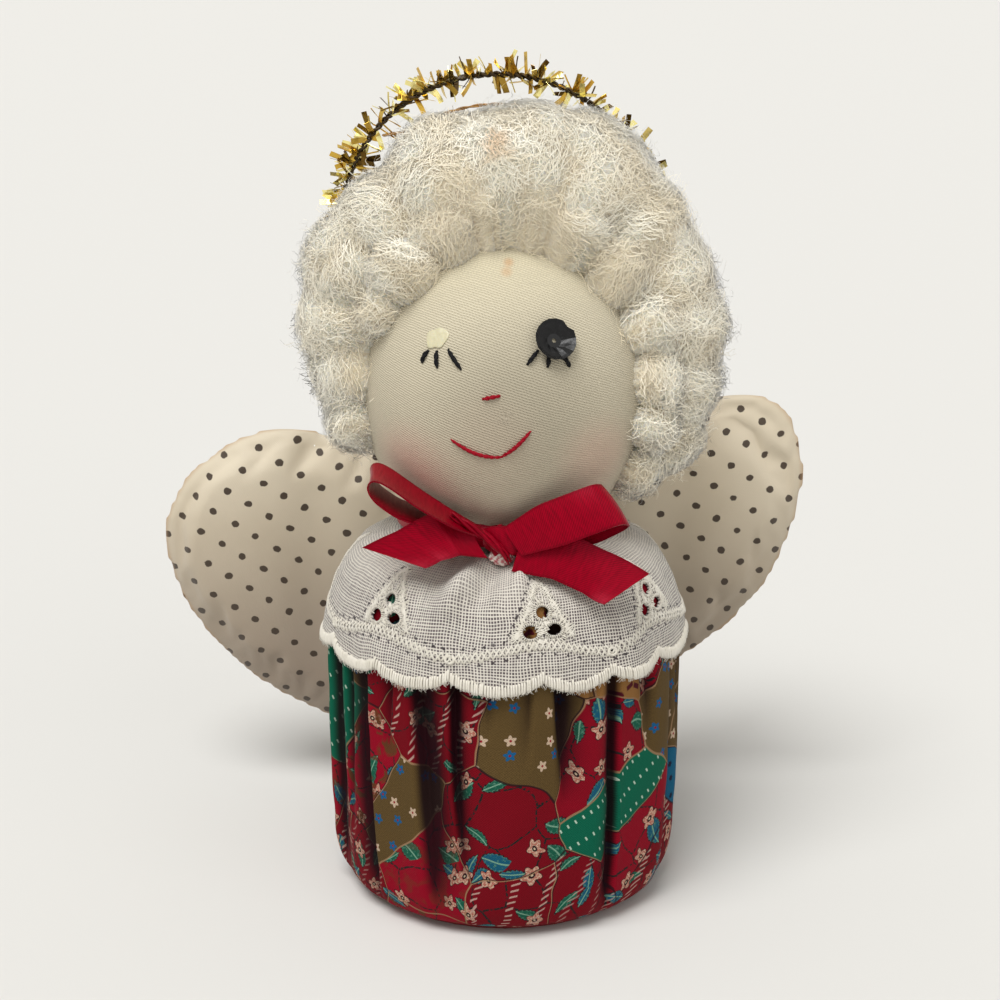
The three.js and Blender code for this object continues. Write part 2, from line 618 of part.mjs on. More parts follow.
function pillow(outline, rings, frontDepth, backDepth) {
  const middle = [outline[0][2], 0, outline[0][3]];
  const front = wingFace(outline, rings, frontDepth);
  const back = wingFace(outline, rings, backDepth);
  const rows = [...front.reverse(), ...back];
  const count = outline.length;
  const positions = rows.flat().flat();
  const index = [];
  for (let i = 0; i + 1 < rows.length; i += 1) {
    for (let j = 0; j < count; j += 1) {
      const side = (j + 1) % count;
      const corners = [i * count + j, (i + 1) * count + j, (i + 1) * count + side, i * count + side];
      index.push(corners[0], corners[1], corners[2], corners[0], corners[2], corners[3]);
    }
  }
  const frontTip = rows.length * count;
  const backTip = frontTip + 1;
  const last = (rows.length - 1) * count;
  positions.push(middle[0], WING_BACK + frontDepth(0), middle[2]);
  positions.push(middle[0], WING_BACK + backDepth(0), middle[2]);
  for (let j = 0; j < count; j += 1) {
    const side = (j + 1) % count;
    index.push(frontTip, j, side, backTip, last + side, last + j);
  }
  return indexed(positions, index);
}

function wingPanel(facing) {
  const outside = (ring) => facing * (WING_PUFF * puffShare(ring) + SEAT_GAP / 2 + WING_CLOTH);
  const inside = (ring) => facing * (WING_PUFF * puffShare(ring) + SEAT_GAP / 2);
  const outline = wingOutline(38);
  return facing < 0
    ? pillow(outline, WING_RING_SHARES, outside, inside)
    : pillow(outline, WING_RING_SHARES, inside, outside);
}

function wingFilling() {
  const rings = WING_RING_SHARES.slice(1);
  const puff = (ring) => Math.max(WING_PUFF * puffShare(ring) - SEAT_GAP / 2, SEAT_GAP);
  return pillow(wingOutline(38), rings, (ring) => -puff(ring), puff);
}

function wingTack() {
  const radius = WING_TACK_RADIUS;
  const bar = new THREE.CylinderGeometry(radius, radius, WING_TACK_LENGTH, 8).rotateZ(Math.PI / 2);
  return bar.translate(0, COLLAR_REACH - radius, WING_TACK_HEIGHT);
}

// Ribbon: the knot's middle, then each piece's stations as shares of the ribbon's width from there.
const BAND_SLOPE = Math.PI / 5;
const BAND_SPREAD = NECK_BAND_WIDTH * Math.sin(BAND_SLOPE);
const KNOT_FRONT = NECK_BAND_RADIUS + 0.75 * BAND_SPREAD + RIBBON_THICKNESS + SEAT_GAP + KNOT_HALF_DEPTH;
const KNOT_MIDDLE = [KNOT_SIDE_SHIFT, -KNOT_FRONT, SHOULDER_HEIGHT + KNOT_RISE];
const BOW_SHARES = {
  bow_tail_left: [
    [[-0.37, -0.32, 0.02], [0.5, -0.2, -0.8], 0.6], [[-1.08, -0.49, 0.32], [4, -2, -5.4], 1.05],
    [[-1.62, -0.46, 0.06], [6.5, -2.7, -3.6], 1.12], [[-2.14, -0.4, -0.22], [8.9, -3.5, -1.9], 1.45],
  ],
  bow_tail_right: [
    [[0.4, -0.3, -0.17], [-0.3, -0.2, -0.9], 0.75], [[1.32, -0.46, -0.17], [-0.4, -0.25, -0.88], 1],
    [[2, -0.54, -0.48], [-0.45, -0.35, -0.8], 1], [[2.66, -0.6, -0.83], [-6.2, -4, -3], 1.22],
  ],
  bow_loop_left: [
    [[-0.34, -0.05, 0.22], [0, -0.92, -0.4], 0.5], [[-0.92, -0.25, 0.56], [0, -0.92, -0.4], 0.85],
    [[-1.62, -0.13, 0.97], [0, -0.92, -0.4], 1], [[-2.25, 0.08, 1.38], [0, -0.92, -0.4], 1],
    [[-2.58, 0.2, 1.51], [0, -0.92, -0.4], 1], [[-2.72, 0.25, 1.32], [0, -0.92, -0.4], 1],
    [[-2.57, 0.23, 1.02], [0, -0.92, -0.4], 1], [[-2.08, 0.17, 0.67], [0, -0.92, -0.4], 1],
    [[-1.38, 0.11, 0.44], [0, -0.92, -0.4], 0.95], [[-0.69, 0.02, 0.1], [0, -0.92, -0.4], 0.6],
  ],
  bow_loop_right: [
    [[0.31, -0.3, 0.1], [0.5, -0.35, -0.8], 0.7], [[1.08, -0.49, 0.51], [0.55, -0.35, -0.75], 1],
    [[1.77, -0.55, 0.8], [0.55, -0.35, -0.75], 1], [[2.25, -0.49, 0.97], [0.55, -0.35, -0.75], 1],
    [[2.46, -0.31, 0.89], [0.55, -0.35, -0.75], 1], [[2.34, -0.09, 0.71], [0.55, -0.35, -0.75], 1],
    [[1.77, -0.02, 0.4], [0.55, -0.35, -0.75], 1], [[1, -0.1, 0.12], [0.55, -0.35, -0.75], 0.7],
  ],
};

function bowStations(shares) {
  return shares.map(([place, across, wide]) => ({
    middle: place.map((share, i) => KNOT_MIDDLE[i] + share * RIBBON_WIDTH),
    across,
    wide: wide * RIBBON_WIDTH,
  }));
}

function knotShape(extra) {
  const radii = [KNOT_HALF_WIDTH + extra, KNOT_HALF_DEPTH + extra, KNOT_HALF_HEIGHT + extra];
  return ellipsoid(KNOT_MIDDLE, radii, 10, 7);
}

function neckBand() {
  const rise = NECK_BAND_WIDTH * Math.cos(BAND_SLOPE);
  const bottom = SHOULDER_HEIGHT + SEAT_GAP;
  const inner = [[NECK_BAND_RADIUS, bottom], [NECK_BAND_RADIUS + BAND_SPREAD, bottom + rise]];
  const outer = inner.map(([radius, height]) => [radius + RIBBON_THICKNESS, height]);
  return turned([inner[0], outer[0], outer[1], inner[1], inner[0]], 28);
}

function bowPieces() {
  let taken = solidOf(headShape(SEAT_GAP)).add(solidOf(knotShape(SEAT_GAP)));
  return Object.entries(BOW_SHARES).map(([name, shares]) => {
    const stations = bowStations(shares);
    const piece = largestBody(solidOf(ribbon(stations, 0)).subtract(taken));
    taken = taken.add(solidOf(ribbon(stations, SEAT_GAP)));
    return [name, geometryOf(piece), redSatin];
  });
}

function glueDrop() {
  const half = GLUE_DROP_HALF_WIDTH;
  const forward = 0.69 * KNOT_HALF_DEPTH + SEAT_GAP + half / 2;
  const [side, back, height] = KNOT_MIDDLE;
  const centre = [side + half / 3, back - forward, height - 0.72 * KNOT_HALF_HEIGHT];
  return ellipsoid(centre, [half, half / 2, half / 3], 8, 5);
}

// Every piece by name, with its shape and finish
const beside = SEAT_GAP + THREAD_RADIUS;
const headNeckThread = threadRing(NECK_RADIUS + beside, NECK_BOTTOM + 3 * THREAD_RADIUS);
const dressThread = threadRing(DRESS_TOP_RADIUS - beside, SHOULDER_HEIGHT - 3 * THREAD_RADIUS);
const collarThread = threadRing(COLLAR_NECK_RADIUS + 5 * THREAD_RADIUS, SHOULDER_HEIGHT + beside);
const hemThread = threadRing(HEM_INNER_RADIUS - beside, (HEM_BOTTOM + HEM_TOP) / 2);
const lashes = Object.entries(LASH_SHARES).map(([name, shares]) => {
  return [name, faceStitch(shares, LASH_RADIUS, 3), blackThread];
});

const pieces = [
  ["base_cover", baseCover(), felt],
  ["base_card", baseCard(), card],
  ["body_tube", bodyTube(), card],
  ["body_filling", bodyFilling(), wadding],
  ["dress", dress(), printedCotton],
  ["dress_neck_thread", dressThread, whiteThread],
  ["dress_hem_thread", hemThread, whiteThread],
  ["lace_collar", collar(), whiteLace],
  ["collar_thread", collarThread, whiteThread],
  ["head_cover", headCover(), creamKnit],
  ["head_filling", headFilling(), wadding],
  ["head_neck_thread", headNeckThread, whiteThread],
  ["eye_sequin", sequin(), blackSequin],
  ["eye_glue_mark", glueMark(), driedGlue],
  ...lashes,
  ["nose_stitch", faceStitch(NOSE_SHARES, MOUTH_THREAD_RADIUS, 3), redThread],
  ["mouth_stitch_left", faceStitch(MOUTH_LEFT_SHARES, MOUTH_THREAD_RADIUS, 6), redThread],
  ["mouth_stitch_right", faceStitch(MOUTH_RIGHT_SHARES, MOUTH_THREAD_RADIUS, 6), redThread],
  ...hairMasses(),
  ["halo_tinsel", haloTinsel(), goldFoil],
  ["halo_second_lap", secondLap(0), goldFoil],
  ["halo_tack", haloTack(), whiteThread],
  ["wing_front_panel", wingPanel(-1), creamSateen],
  ["wing_back_panel", wingPanel(1), creamSateen],
  ["wing_filling", wingFilling(), wadding],
  ["wing_tack", wingTack(), whiteThread],
  ["neck_ribbon", neckBand(), redSatin],
  ["bow_knot", knotShape(0), redSatin],
  ...bowPieces(),
  ["glue_drop", glueDrop(), driedGlue],
];

const group = new THREE.Group();
for (const [name, geometry, material] of pieces) {
  const mesh = new THREE.Mesh(geometry, material);
  mesh.name = name;
  group.add(mesh);
}

export default group;
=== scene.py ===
"""Angel ornament: the sewn and stuffed doll, piece by piece in the order in which it is put together.

Lengths are millimetres, +Z is up and the face looks along -Y. Points go to metres when a mesh is made.
"""
import math
import bpy
import numpy as np
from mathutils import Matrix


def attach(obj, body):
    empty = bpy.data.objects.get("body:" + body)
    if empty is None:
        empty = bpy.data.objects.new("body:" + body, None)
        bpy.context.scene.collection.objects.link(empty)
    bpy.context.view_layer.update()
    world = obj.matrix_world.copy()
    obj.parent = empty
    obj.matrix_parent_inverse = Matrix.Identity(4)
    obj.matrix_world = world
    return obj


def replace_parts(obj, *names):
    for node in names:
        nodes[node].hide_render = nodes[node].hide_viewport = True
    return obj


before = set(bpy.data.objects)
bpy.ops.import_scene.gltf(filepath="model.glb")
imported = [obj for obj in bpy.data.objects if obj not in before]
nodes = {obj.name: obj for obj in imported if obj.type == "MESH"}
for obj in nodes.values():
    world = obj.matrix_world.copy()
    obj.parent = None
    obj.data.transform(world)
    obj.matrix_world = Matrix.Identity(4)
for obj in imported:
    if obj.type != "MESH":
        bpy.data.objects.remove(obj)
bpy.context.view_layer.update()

# Camera, lamps and floor
# The camera stands a little above the doll and looks down 16 degrees at its middle, 286 mm away.
# Two wide soft lamps and a pale surround light it, on a plain pale floor.
MM = 0.001
# Lamps: tilt, turn and spread in degrees, and strength
LAMPS = {"window_lamp": (28, -30, 34, 2.55), "fill_lamp": (62, 40, 50, 0.45)}
SKY_TINT, SKY_STRENGTH = (1.0, 0.976, 0.94, 1), 0.43
FLOOR_REACH = 4000
FLOOR_SINK = -0.05

camera = bpy.data.objects.new("camera", bpy.data.cameras.new("camera"))
bpy.context.scene.collection.objects.link(camera)
camera.location = (-0.0007, -0.2749, 0.1358)
camera.rotation_euler = (math.radians(74), 0, 0)
camera.data.lens = 72
camera.data.sensor_width = 36
camera.data.clip_start = 0.01
bpy.context.scene.camera = camera
bpy.context.scene.view_settings.view_transform = "Standard"


def srgb(red, green, blue):
    """A colour as seen, each part from 0 to 255, made linear.

    Below 0.04 a part is divided by 12.92, and above it is raised to 2.4.
    """
    seen = np.array([red, green, blue]) / 255
    linear = np.where(seen < 0.04045, seen / 12.92, ((seen + 0.055) / 1.055) ** 2.4)
    return (*linear.tolist(), 1.0)


def added(tree, kind, inputs, **settings):
    """One more shader node, with its options and inputs, which take values or the signals they link to."""
    node = tree.nodes.new("ShaderNode" + kind)
    for name, value in settings.items():
        setattr(node, name, value)
    for name, value in inputs.items():
        if isinstance(value, Signal):
            tree.links.new(value.socket, node.inputs[name])
        else:
            node.inputs[name].default_value = value
    return node


class Signal:
    """What a shader node gives at each point: a number, a colour or a vector.

    +, -, *, /, > and abs() work with signals and plain numbers, and each adds the node that does it.
    signal[0], [1] and [2] are a vector's three parts, or a colour's red, green and blue.
    """

    def __init__(self, socket):
        self.socket = socket
        self.tree = socket.id_data

    def math(self, operation, *others):
        return Signal(
            added(self.tree, "Math", dict(enumerate((self, *others))), operation=operation).outputs[0])

    def __add__(self, other):
        return self.math("ADD", other)

    def __sub__(self, other):
        return self.math("SUBTRACT", other)

    def __rsub__(self, other):
        return self.math("MULTIPLY_ADD", -1.0, other)

    def __mul__(self, other):
        return self.math("MULTIPLY", other)

    def __truediv__(self, other):
        return self.math("DIVIDE", other)

    def __gt__(self, other):
        return self.math("GREATER_THAN", other)

    def __abs__(self):
        return self.math("ABSOLUTE")

    def __getitem__(self, part):
        return Signal(added(self.tree, "SeparateXYZ", {0: self}).outputs[part])


def greatest(first, *others):
    """The greatest of several signals."""
    for other in others:
        first = first.math("MAXIMUM", other)
    return first


world = bpy.data.worlds.new("surround")
world.use_nodes = True
sky_tree = world.node_tree
sky_tree.nodes.clear()
rays = added(sky_tree, "LightPath", {}).outputs
seen_rays = greatest(*(Signal(rays[f"Is {kind} Ray"]) for kind in ("Camera", "Glossy", "Transmission")))
sky = added(sky_tree, "Background", {"Color": SKY_TINT, "Strength": SKY_STRENGTH})
wall = added(sky_tree, "Background", {"Color": srgb(237, 235, 229), "Strength": 1.0})
surround = added(sky_tree, "MixShader", {0: seen_rays, 1: Signal(sky.outputs[0]), 2: Signal(wall.outputs[0])})
added(sky_tree, "OutputWorld", {"Surface": Signal(surround.outputs[0])})
bpy.context.scene.world = world

for name, (tilt, turn, spread, strength) in LAMPS.items():
    lamp = bpy.data.lights.new(name, "SUN")
    lamp.angle = math.radians(spread)
    lamp.energy = strength
    stand = bpy.data.objects.new(name, lamp)
    stand.rotation_euler = (math.radians(tilt), 0, math.radians(turn))
    bpy.context.scene.collection.objects.link(stand)


def quads(rows, columns, ring=True, loop=False):
    """Corner numbers of a grid's squares, seen from outside, with rows running down and columns right.

    ring joins each row's end to its start, and loop joins the last row to the first.
    """
    number = np.arange(rows * columns).reshape(rows, columns)
    if ring:
        number = np.hstack([number, number[:, :1]])
    if loop:
        number = np.vstack([number, number[:1]])
    return np.stack([number[:-1, :-1], number[1:, :-1], number[1:, 1:], number[:-1, 1:]], -1).reshape(-1, 4)


def lids(rows, columns):
    """Corner numbers that close the first and the last row of a ringed grid, each as one flat face."""
    first = np.arange(columns)[None, :]
    return [first, (rows - 1) * columns + first[:, ::-1]]


def piece_from(name, points, tables, finish=None, smooth=True, **values):
    """A piece from an array of points in millimetres and a list of tables of corner numbers.

    Each named value is kept on the mesh for its finish: one number, or three, for each point.
    """
    mesh = bpy.data.meshes.new(name)
    points = points.reshape(-1, 3)
    mesh.vertices.add(len(points))
    mesh.vertices.foreach_set("co", (points * MM).astype(np.float32).ravel())
    corners = np.concatenate([table.ravel() for table in tables])
    counts = np.concatenate([np.full(len(table), table.shape[1]) for table in tables])
    mesh.loops.add(len(corners))
    mesh.loops.foreach_set("vertex_index", corners.astype(np.int32))
    mesh.polygons.add(len(counts))
    mesh.polygons.foreach_set("loop_start", np.concatenate([[0], np.cumsum(counts)[:-1]]).astype(np.int32))
    mesh.update(calc_edges=True)
    mesh.polygons.foreach_set("use_smooth", np.full(len(counts), smooth))
    for key, value in values.items():
        kind, field = ("FLOAT_VECTOR", "vector") if value.size == points.size else ("FLOAT", "value")
        kept = mesh.attributes.new(key, kind, "POINT")
        kept.data.foreach_set(field, value.astype(np.float32).ravel())
    piece = bpy.data.objects.new(name, mesh)
    bpy.context.scene.collection.objects.link(piece)
    if finish:
        mesh.materials.append(finish)
    return piece


floor_edge = np.linspace(-FLOOR_REACH, FLOOR_REACH, 9)
floor_points = np.stack([*np.meshgrid(floor_edge, -floor_edge), np.full((9, 9), FLOOR_SINK)], -1)
floor_finish = bpy.data.materials.new("pale_floor")
floor_finish.use_nodes = True
floor_shader = floor_finish.node_tree.nodes["Principled BSDF"]
floor_shader.inputs["Base Color"].default_value = srgb(218, 217, 213)
floor_shader.inputs["Roughness"].default_value = 0.9
floor = piece_from("floor", floor_points, [quads(9, 9, ring=False)], floor_finish)

# Base: felt cover, card disc and card tube
# A disc of dark red felt covers the bottom, under a card disc and a card tube that hold the body round.
# The felt is glued on last, over the rolled hem of the dress.


def mixed(share, low, high):
    """The colour between low and high at a share from 0 to 1."""
    return Signal(added(share.tree, "Mix", {0: share, 6: low, 7: high}, data_type="RGBA").outputs[2])


def between(value, low, high, start=0.0, end=1.0):
    """A soft step: start where value is at low, end where it is at high, and an S curve in between."""
    settings = {"Value": value, "From Min": low, "From Max": high, "To Min": start, "To Max": end}
    return Signal(added(value.tree, "MapRange", settings, interpolation_type="SMOOTHSTEP").outputs[0])


def vectors(operation, *values, **inputs):
    """The result of one sum on vectors."""
    inputs.update(enumerate(values))
    return Signal(added(values[0].tree, "VectorMath", inputs, operation=operation).outputs[0])


def noise(place, scale, detail, output=0, **inputs):
    """Smooth noise from 0 to 1, with scale waves to the millimetre and finer ones in it."""
    settings = {"Vector": place, "Scale": scale, "Detail": detail, **inputs}
    return Signal(added(place.tree, "TexNoise", settings).outputs[output])


def finish_of(name, colour, roughness, **inputs):
    """A new material with one principled shader, and the piece's own place in millimetres for patterns."""
    material = bpy.data.materials.new(name)
    material.use_nodes = True
    shader = material.node_tree.nodes["Principled BSDF"]
    shader.inputs["Base Color"].default_value = colour
    shader.inputs["Roughness"].default_value = roughness
    for key, value in inputs.items():
        shader.inputs[key.replace("_", " ")].default_value = value
    place = Signal(added(material.node_tree, "TexCoord", {}).outputs["Object"])
    return material, vectors("SCALE", place, Scale=1 / MM)


def painted(material, colour, height=None, depth=0.0, roughness=None):
    """Gives a finish its colour and, where named, its roughness and its bumps, of so many millimetres."""
    tree = material.node_tree
    shader = tree.nodes["Principled BSDF"]
    links = {"Base Color": colour, "Roughness": roughness}
    if height:
        bump = added(tree, "Bump", {"Height": height, "Strength": 1.0, "Distance": depth * MM})
        links["Normal"] = Signal(bump.outputs[0])
    for name, signal in links.items():
        if signal:
            tree.links.new(signal.socket, shader.inputs[name])


def mottled(name, look, low, high, tone, depth=0.0, **inputs):
    """A finish whose colour wanders from low to high with a noise, which also raises it.

    look is its plain colour and roughness, and tone is the noise's scale, its detail and, in a table, its
    other inputs.
    """
    (colour, roughness), (scale, detail, *more) = look, tone
    material, place = finish_of(name, srgb(*colour), roughness, **inputs)
    wander = noise(place, scale, detail, **dict(*more))
    painted(material, mixed(wander, srgb(*low), srgb(*high)), wander if depth else None, depth)
    return material


felt_finish = mottled(
    "pressed_felt", ((124, 26, 32), 0.95), (92, 16, 22), (150, 40, 44), (2.4, 6.0, {"Roughness": 0.7}), 0.15,
    Sheen_Weight=0.3)
card_finish = mottled(
    "brown_card", ((179, 154, 120), 0.85), (160, 134, 100), (196, 174, 142), (1.3, 5.0), 0.05)
wadding_finish = mottled(
    "fibre_filling", ((242, 240, 234), 0.9), (222, 218, 208), (252, 250, 246),
    (0.8, 8.0, {"Distortion": 1.5}), 0.5, Sheen_Weight=0.2)
thread_finish = mottled(
    "white_cotton_thread", ((238, 233, 220), 0.7), (214, 207, 190), (248, 244, 234), (5.0, 3.0), 0.05,
    Sheen_Weight=0.2)


def dressed(material, *names):
    """Gives named frame parts that keep their shape their finish."""
    for name in names:
        nodes[name].data.materials.clear()
        nodes[name].data.materials.append(material)


dressed(felt_finish, "base_cover")
dressed(card_finish, "base_card", "body_tube")
dressed(thread_finish, "dress_neck_thread", "dress_hem_thread", "collar_thread")
dressed(thread_finish, "head_neck_thread", "halo_tack", "wing_tack")

# Filling of the body
# Loose fibre fills the tube and domes up to carry the shoulders, with a socket for the neck.
# Its profile is given as radius and height.
FILLING_PROFILE = [
    (0.5, 3.5), (21.4, 3.5), (21.4, 42.2), (20.6, 44.9), (18.9, 48.2), (16.2, 50.0), (9.3, 51.2),
    (9.2, 44.9), (0.5, 44.9),
]


def lengths_along(points):
    """How far along a polyline each of its points lies, from 0 at the first."""
    return np.concatenate([[0], np.cumsum(np.linalg.norm(np.diff(points, axis=0), axis=1))])


def spaced(points, count):
    """A polyline's points at equal steps of its own length, each between the corners on either side."""
    points = np.asarray(points, float)
    length = lengths_along(points)
    steps = np.linspace(0, length[-1], count)
    return np.stack([np.interp(steps, length, part) for part in points.T], -1)


def rounded(points, count, passes=6):
    """Equal steps along a polyline, softened at its corners by averaging points with their neighbours."""
    line = spaced(points, count)
    for _ in range(passes):
        line[1:-1] = (line[:-2] + 2 * line[1:-1] + line[2:]) / 4
    return line


def turned(profile, columns):
    """A profile of radius and height, turned upright: (radius x sin, -radius x cos, height)."""
    turn = np.arange(columns) * 2 * np.pi / columns
    radius, height = profile[:, :1], profile[:, 1:]
    return np.stack([radius * np.sin(turn), -radius * np.cos(turn), height + 0 * turn], -1)


def ripple(points, size, seed):
    """Smooth lumps from -1 to 1: the mean of nine sine waves of about size, each in its own direction."""
    rng = np.random.default_rng(seed)
    waves = rng.normal(size=(9, 3))
    waves *= (2 * np.pi / size) * rng.uniform(0.7, 1.4, (9, 1)) / np.linalg.norm(waves, axis=1, keepdims=True)
    return np.sin(points @ waves.T + rng.uniform(0, 2 * np.pi, 9)).mean(-1) * 2


def grid_piece(name, points, finish, **values):
    """A piece from a grid of points, whose rows are closed rings, with a flat face over its two ends."""
    rows, columns = points.shape[:2]
    return piece_from(name, points, [quads(rows, columns), *lids(rows, columns)], finish, **values)


filling_points = turned(rounded(FILLING_PROFILE[::-1], 60, 2), 72)
lumps = ripple(filling_points, 6, 3)[..., None]
filling_points[..., :2] *= 1 - 0.012 * (1 + lumps)
body_wadding = grid_piece("body_wadding", filling_points, wadding_finish)
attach(body_wadding, "body")
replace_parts(body_wadding, "body_filling")

# Dress
# Printed patchwork cotton, cut as a strip, gathered on a thread at the neck and drawn down over the tube.
# Its hem is rolled under and gathered below the base, and the gathers fall as deep folds.
DRESS_PROFILE = [
    (9.7, 53.15), (13.5, 52.8), (17.7, 51.9), (20.7, 50.3), (22.3, 48.5), (23.4, 46.0), (24.76, 41.6),
    (25.3, 37.5), (25.45, 33), (25.5, 25.06), (25.35, 15.36), (25.0, 8.5), (24.5, 4.2), (23.4, 1.7),
    (21.9, 0.95), (20.9, 0.95), (19.8, 1.3), (16.2, 1.42),
]
DRESS_ROWS, DRESS_COLUMNS = 96, 500
DRESS_FLAT_RADIUS = 29
HEM_STEP, HEM_STRENGTH = 66, 0.15
# Folds: turn from the front in degrees, depth, half width and lean in degrees, and how far down it lasts
DRESS_FOLDS = np.array([
    (-152, 1.6, 5.0, 3, 0.9), (-139, 0.9, 3.5, -2, 0.5), (-126, 1.7, 5.5, -2, 1.1),
    (-113, 0.9, 3.5, 2, 0.6), (-101, 1.6, 5.0, 1, 1.0), (-88, 1.0, 4.0, -3, 0.5), (-76, 1.6, 5.0, 2, 1.1),
    (-63, 1.2, 4.0, 1, 0.8), (-51, 1.8, 4.6, 4, 1.2), (-40, 0.9, 3.0, -2, 0.5), (-29, 1.9, 6.2, 9, 1.0),
    (-15, 1.8, 3.2, 6, 0.85), (-4, 0.8, 3.4, 2, 0.4), (6, 0.7, 3.0, -3, 0.5), (17, 1.6, 5.0, 5, 0.6),
    (28, 0.8, 3.0, -1, 0.35), (38, 1.9, 3.4, -2, 1.3), (52, 0.9, 3.8, 2, 0.5), (67, 1.7, 4.6, -2, 1.2),
    (79, 0.9, 3.6, 2, 0.6), (92, 1.6, 5.0, 1, 1.0), (105, 0.9, 3.6, -2, 0.5), (118, 1.6, 5.0, 2, 1.1),
    (131, 1.0, 3.6, -2, 0.6), (145, 1.6, 5.0, 1, 1.0), (158, 1.0, 3.6, 2, 0.6), (172, 1.7, 5.0, -2, 1.1),
    (-165, 1.0, 3.6, 2, 0.6),
])


def bell(away, width):
    """A bell: 1 in its middle, and exp(-(away / width)^2) away from there."""
    return np.exp(-((away / width) ** 2))


def fold_shares(turn, down):
    """How deep each point lies in the folds, and how far each fold pulls the cloth sideways.

    Each fold is a valley, depth x (1 - distance / width)^1.6, round a line that leans with the share of the
    way down. It is narrow on one side, like cloth that laps over itself, wide on the other, and it fades
    past its end.
    """
    deep, pulled = np.zeros((2, len(down), len(turn)))
    for number, (middle, depth, half, lean, last) in enumerate(DRESS_FOLDS):
        line = middle + lean * (down[:, None] - 0.3)
        away = (turn[None, :] - line + 180) % 360 - 180
        half_here = half * (1 + 0.5 * down[:, None])
        fade = np.clip(1 - np.maximum(down[:, None] - 0.55 * last, 0) / (0.5 * last), 0, 1) ** 0.7
        lapped = np.where(away * (-1) ** (number // 2) > 0, 0.55, 2.1) * half_here
        valley = np.clip(1 - np.sqrt(away**2 + 0.1) / lapped, 0, 1) ** 1.6
        deep = np.maximum(deep, depth * valley * fade)
        pulled += -0.35 * away * bell(away, 2.4 * half_here) * fade * min(depth, 1.5) / 1.5
    return deep, pulled


dress_line = rounded(DRESS_PROFILE, DRESS_ROWS, 3)
dress_step = lengths_along(dress_line)
turn = np.arange(DRESS_COLUMNS) * 360 / DRESS_COLUMNS - 180
fall = np.clip((50 - dress_line[:, 1]) / 48, 0, 1) * (dress_line[:, 0] > 20)
strength = np.clip((53.5 - dress_line[:, 1]) / 9, 0, 1) * np.clip((dress_line[:, 1] - 0.4) / 7, 0.12, 1)
strength[dress_step > HEM_STEP] = HEM_STRENGTH
strength = strength[:, None]
deep, pulled = fold_shares(turn, fall)
bulge = 0.35 * np.sin(np.radians(13 * turn + 40))[None, :] * strength
fine = ripple(turned(dress_line, DRESS_COLUMNS), 5, 8) * 0.1
radius = dress_line[:, :1] - 1.3 * deep * strength + bulge + fine * strength
real_turn = np.radians(turn[None, :] + pulled * strength)
height = dress_line[:, 1:] + 0.22 * np.sin(np.radians(57 * turn)) * bell(dress_step, 5)[:, None]
dress_points = np.stack([radius * np.sin(real_turn), -radius * np.cos(real_turn), height], -1)
cloth_across = np.radians(turn[None, :]) * DRESS_FLAT_RADIUS + deep * 0.6
dress_cloth = np.stack(np.broadcast_arrays(cloth_across, dress_step[:, None], 0.0), -1)


def attribute(material, name, output="Fac"):
    """A value kept on the mesh, for its finish to read."""
    return Signal(added(material.node_tree, "Attribute", {}, attribute_name=name).outputs[output])


def cells(place, size, output, feature="F1", randomness=1.0):
    """One output of a pattern of cells about size apart, each round a scattered spot."""
    inputs = {"Vector": place, "Scale": 1 / size, "Randomness": randomness}
    node = added(place.tree, "TexVoronoi", inputs, voronoi_dimensions="2D", feature=feature)
    return Signal(node.outputs[output])


def spots(cloth, size, seed, randomness=1.0):
    """Scattered spots about size apart: the way from the nearest to each point, and its random colour."""
    shifted = vectors("ADD", cloth, (seed * 17.3, seed * 9.1, 0))
    nearest = cells(shifted, size, "Position", randomness=randomness)
    return vectors("SUBTRACT", shifted, nearest), cells(shifted, size, "Color", randomness=randomness)


def distance(place, middle=(0, 0, 0)):
    """How far each point lies from a middle."""
    return Signal(
        added(place.tree, "VectorMath", {0: place, 1: middle}, operation="DISTANCE").outputs["Value"])


def flower(offset, count, radius, depth, spin):
    """How far inside a flower each point is, and how far from its middle.

    The first is radius x (1 + depth x cos(count x angle)), less the second.
    """
    angle = offset[1].math("ARCTAN2", offset[0]) + spin * 6.3
    away = distance(offset)
    return (angle * float(count)).math("COSINE") * (radius * depth) + radius - away, away


def spun(offset, angle):
    """An offset turned about its spot, by an angle in radians."""
    node = added(offset.tree, "VectorRotate", {"Vector": offset, "Angle": angle}, rotation_type="Z_AXIS")
    return Signal(node.outputs[0])


def slanted(cloth, angle):
    """A cloth's own place turned by an angle in radians."""
    return Signal(added(cloth.tree, "Mapping", {"Vector": cloth, "Rotation": (0, 0, angle)}).outputs[0])


def off_middle(value, pitch):
    """How far a value lies from the middle of its step, in pitches: |fraction of value / pitch - 0.5|."""
    return abs((value / pitch).math("FRACT") - 0.5)


def ridges(value, pitch):
    """A sine of a value that repeats at each pitch."""
    return (value * (2 * math.pi / pitch)).math("SINE")


def inside(value, soft=0.12):
    """1 where a distance inside a printed shape is above nothing, with a soft rim."""
    return between(value, 0.0, soft)


PATCH_SIZE = 13.5
COTTON_YARN_PITCH = 0.36
FOLD_SHADOW, BLACK = (0.006, 0.0, 0.002, 1), (0.0, 0.0, 0.0, 1)
cotton_finish, _ = finish_of("printed_patchwork_cotton", srgb(150, 8, 28), 0.8, Specular_IOR_Level=0.12)
cloth = attribute(cotton_finish, "cloth", "Vector")
wobble = vectors("SUBTRACT", noise(cloth, 0.12, 1.0, "Color"), (0.5, 0.5, 0.5))
bent = vectors("MULTIPLY_ADD", wobble, (4.5, 4.5, 0), cloth)
patch_place = vectors("ADD", bent, (31.0, 12.0, 0))
kind = cells(patch_place, PATCH_SIZE, "Color")

